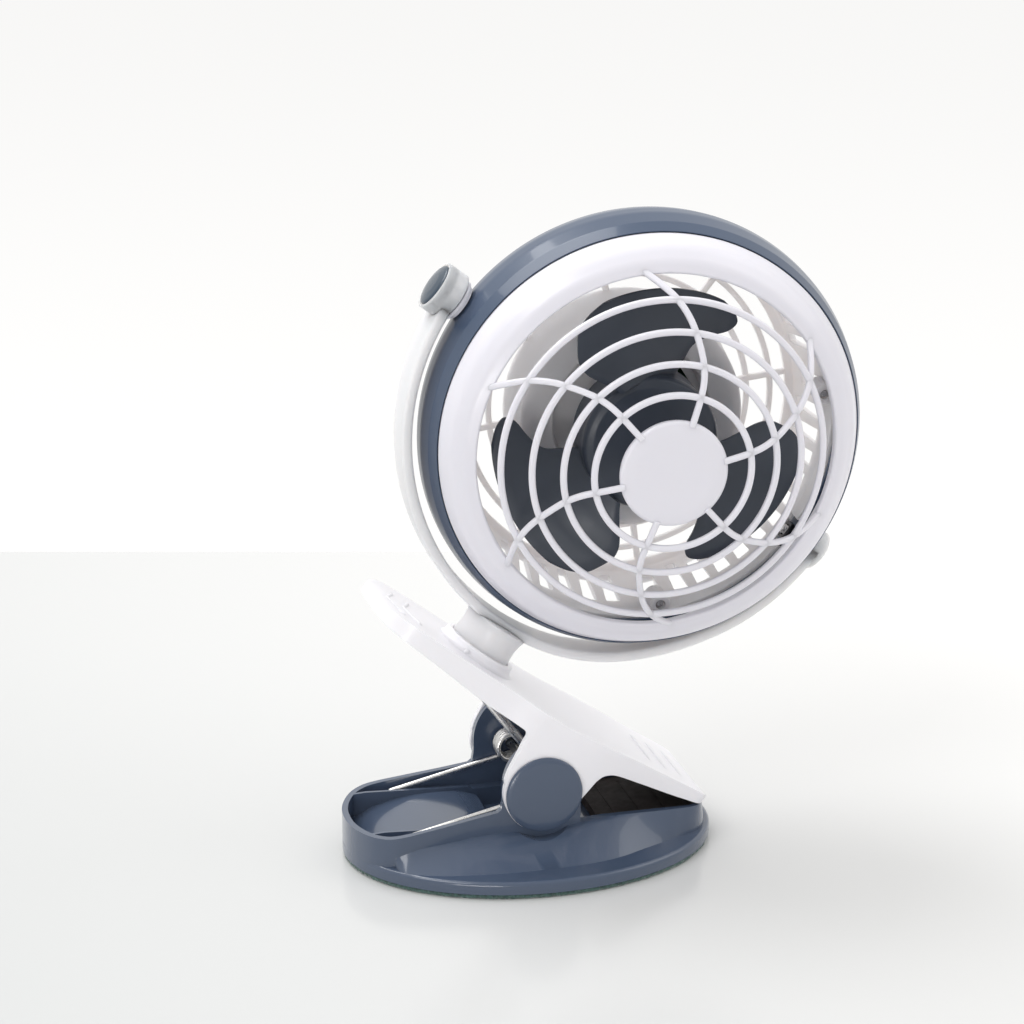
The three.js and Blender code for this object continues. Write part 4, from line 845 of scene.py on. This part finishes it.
# CAD pieces that are shown as they are, inside the head
for node, mat in (("motor_magnet", MAGNET), ("motor_rotor", ROTOR), ("motor_shaft", STEEL), ("circuit_board", BOARD)):
    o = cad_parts[node]
    if len(o.material_slots) == 0:
        o.data.materials.append(mat)
    for sl in o.material_slots:
        sl.material = mat
for node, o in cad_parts.items():
    if not o.hide_render and node not in ("motor_magnet", "motor_rotor", "motor_shaft", "circuit_board"):
        print("still shown from the CAD:", node)

# ================================================================== stage
a, e = rad(-13.98), rad(16.66)
back = Vector((math.sin(a) * math.cos(e), -math.cos(a) * math.cos(e), math.sin(e)))
right = Vector((math.cos(a), math.sin(a), 0))
up = back.cross(right)
ahead = Vector((-math.sin(a), math.cos(a), 0))


def floor():
    far = ahead * 0.344
    pts = [far - right * 4, far + right * 4, far + right * 4 - ahead * 5, far - right * 4 - ahead * 5]
    me = bpy.data.meshes.new("floor")
    me.from_pydata([tuple(p) for p in pts], [], [(0, 3, 2, 1)])
    ob = bpy.data.objects.new("floor", me)
    scene.collection.objects.link(ob)
    m = bpy.data.materials.new("pale_table_painted_falloff")
    m.use_nodes = True
    nt = m.node_tree
    N, L = nt.nodes.new, nt.links.new
    sh = nt.nodes['Principled BSDF']
    co = N('ShaderNodeTexCoord')
    n = N('ShaderNodeTexNoise')
    n.inputs['Scale'].default_value = 3.0
    L(co.outputs['Object'], n.inputs['Vector'])
    # painted light falloff on the flat floor: colour darker at the front and the left, paler towards the back and the
    # right
    sp = N('ShaderNodeSeparateXYZ')
    L(co.outputs['Object'], sp.inputs[0])
    mx = N('ShaderNodeMath')
    mx.operation = 'MULTIPLY_ADD'
    L(sp.outputs['Y'], mx.inputs[0])
    mx.inputs[1].default_value = 0.27
    L(sp.outputs['X'], mx.inputs[2])
    nz = N('ShaderNodeMath')
    nz.operation = 'MULTIPLY_ADD'
    L(n.outputs['Fac'], nz.inputs[0])
    nz.inputs[1].default_value = 0.03
    L(mx.outputs[0], nz.inputs[2])
    mr = N('ShaderNodeMapRange')
    mr.inputs['From Min'].default_value, mr.inputs['From Max'].default_value = -0.335, 0.365
    L(nz.outputs[0], mr.inputs['Value'])
    r = N('ShaderNodeValToRGB')
    r.color_ramp.elements[0].color = (0.528, 0.541, 0.541, 1)
    r.color_ramp.elements[1].color = (0.822, 0.818, 0.812, 1)
    L(mr.outputs['Result'], r.inputs['Fac'])
    L(r.outputs['Color'], sh.inputs['Base Color'])
    sh.inputs['Roughness'].default_value = 0.16
    sh.inputs['Specular IOR Level'].default_value = 0.45
    me.materials.append(m)
    return ob


floor()

world = bpy.data.worlds.new("soft_white")
scene.world = world
world.use_nodes = True
nt = world.node_tree
bg = nt.nodes['Background']
co = nt.nodes.new('ShaderNodeTexCoord')
sep = nt.nodes.new('ShaderNodeSeparateXYZ')
nt.links.new(co.outputs['Generated'], sep.inputs[0])
mr = nt.nodes.new('ShaderNodeMapRange')
mr.inputs['From Min'].default_value, mr.inputs['From Max'].default_value = -0.9, 0.7
mr.inputs['To Min'].default_value, mr.inputs['To Max'].default_value = 0.69, 1.03
mr.interpolation_type = 'SMOOTHSTEP'
nt.links.new(sep.outputs['Y'], mr.inputs['Value'])
side = nt.nodes.new('ShaderNodeMapRange')
side.inputs['From Min'].default_value, side.inputs['From Max'].default_value = -0.30, -0.06
side.inputs['To Min'].default_value, side.inputs['To Max'].default_value = 1.0, 0.91
side.interpolation_type = 'SMOOTHSTEP'
nt.links.new(sep.outputs['Z'], side.inputs['Value'])
mul = nt.nodes.new('ShaderNodeMath')
mul.operation = 'MULTIPLY'
nt.links.new(mr.outputs['Result'], mul.inputs[0])
nt.links.new(side.outputs['Result'], mul.inputs[1])
nt.links.new(mul.outputs[0], bg.inputs['Strength'])
bg.inputs['Color'].default_value = (1.0, 0.995, 0.985, 1)


def area(name, loc, target, size, power, color=(1, 1, 1), size_y=None):
    li = bpy.data.lights.new(name, 'AREA')
    li.shape = 'RECTANGLE'
    li.size, li.size_y = size, size_y or size
    li.energy = power
    li.color = color
    o = bpy.data.objects.new(name, li)
    scene.collection.objects.link(o)
    d = Vector(target) - Vector(loc)
    o.rotation_mode = 'QUATERNION'
    o.rotation_quaternion = d.to_track_quat('-Z', 'Y')
    o.location = loc
    return o


area("key_softbox", (-0.75, -0.55, 1.15), (0, 0, 0.1), 0.7, 4.5, (1, 1, 1), 0.5)
area("fill_softbox", (0.98, -0.30, 0.85), (0, 0, 0.1), 0.9, 3.0, (1, 0.99, 0.98))
area("overhead_back_softbox", (-0.35, 0.40, 1.15), (0.0, 0, 0.1), 0.7, 6.8, (1, 1, 1), 0.7)
area("low_front_softbox", (-0.35, -0.75, 0.07), (0.04, 0, 0.13), 0.35, 1.0, (1, 0.98, 0.96), 0.1)

cam_data = bpy.data.cameras.new("camera")
cam_data.lens, cam_data.sensor_width, cam_data.sensor_fit = 84.375, 36.0, 'HORIZONTAL'
cam_data.clip_start, cam_data.clip_end = 0.01, 50
cam = bpy.data.objects.new("camera", cam_data)
scene.collection.objects.link(cam)
m = Matrix((right, up, back)).transposed().to_4x4()
m.translation = Vector((-0.19757, -0.77431, 0.36287))
cam.matrix_world = m
scene.camera = cam
scene.view_settings.view_transform = 'Standard'
scene.view_settings.look = 'None'

bpy.context.view_layer.update()
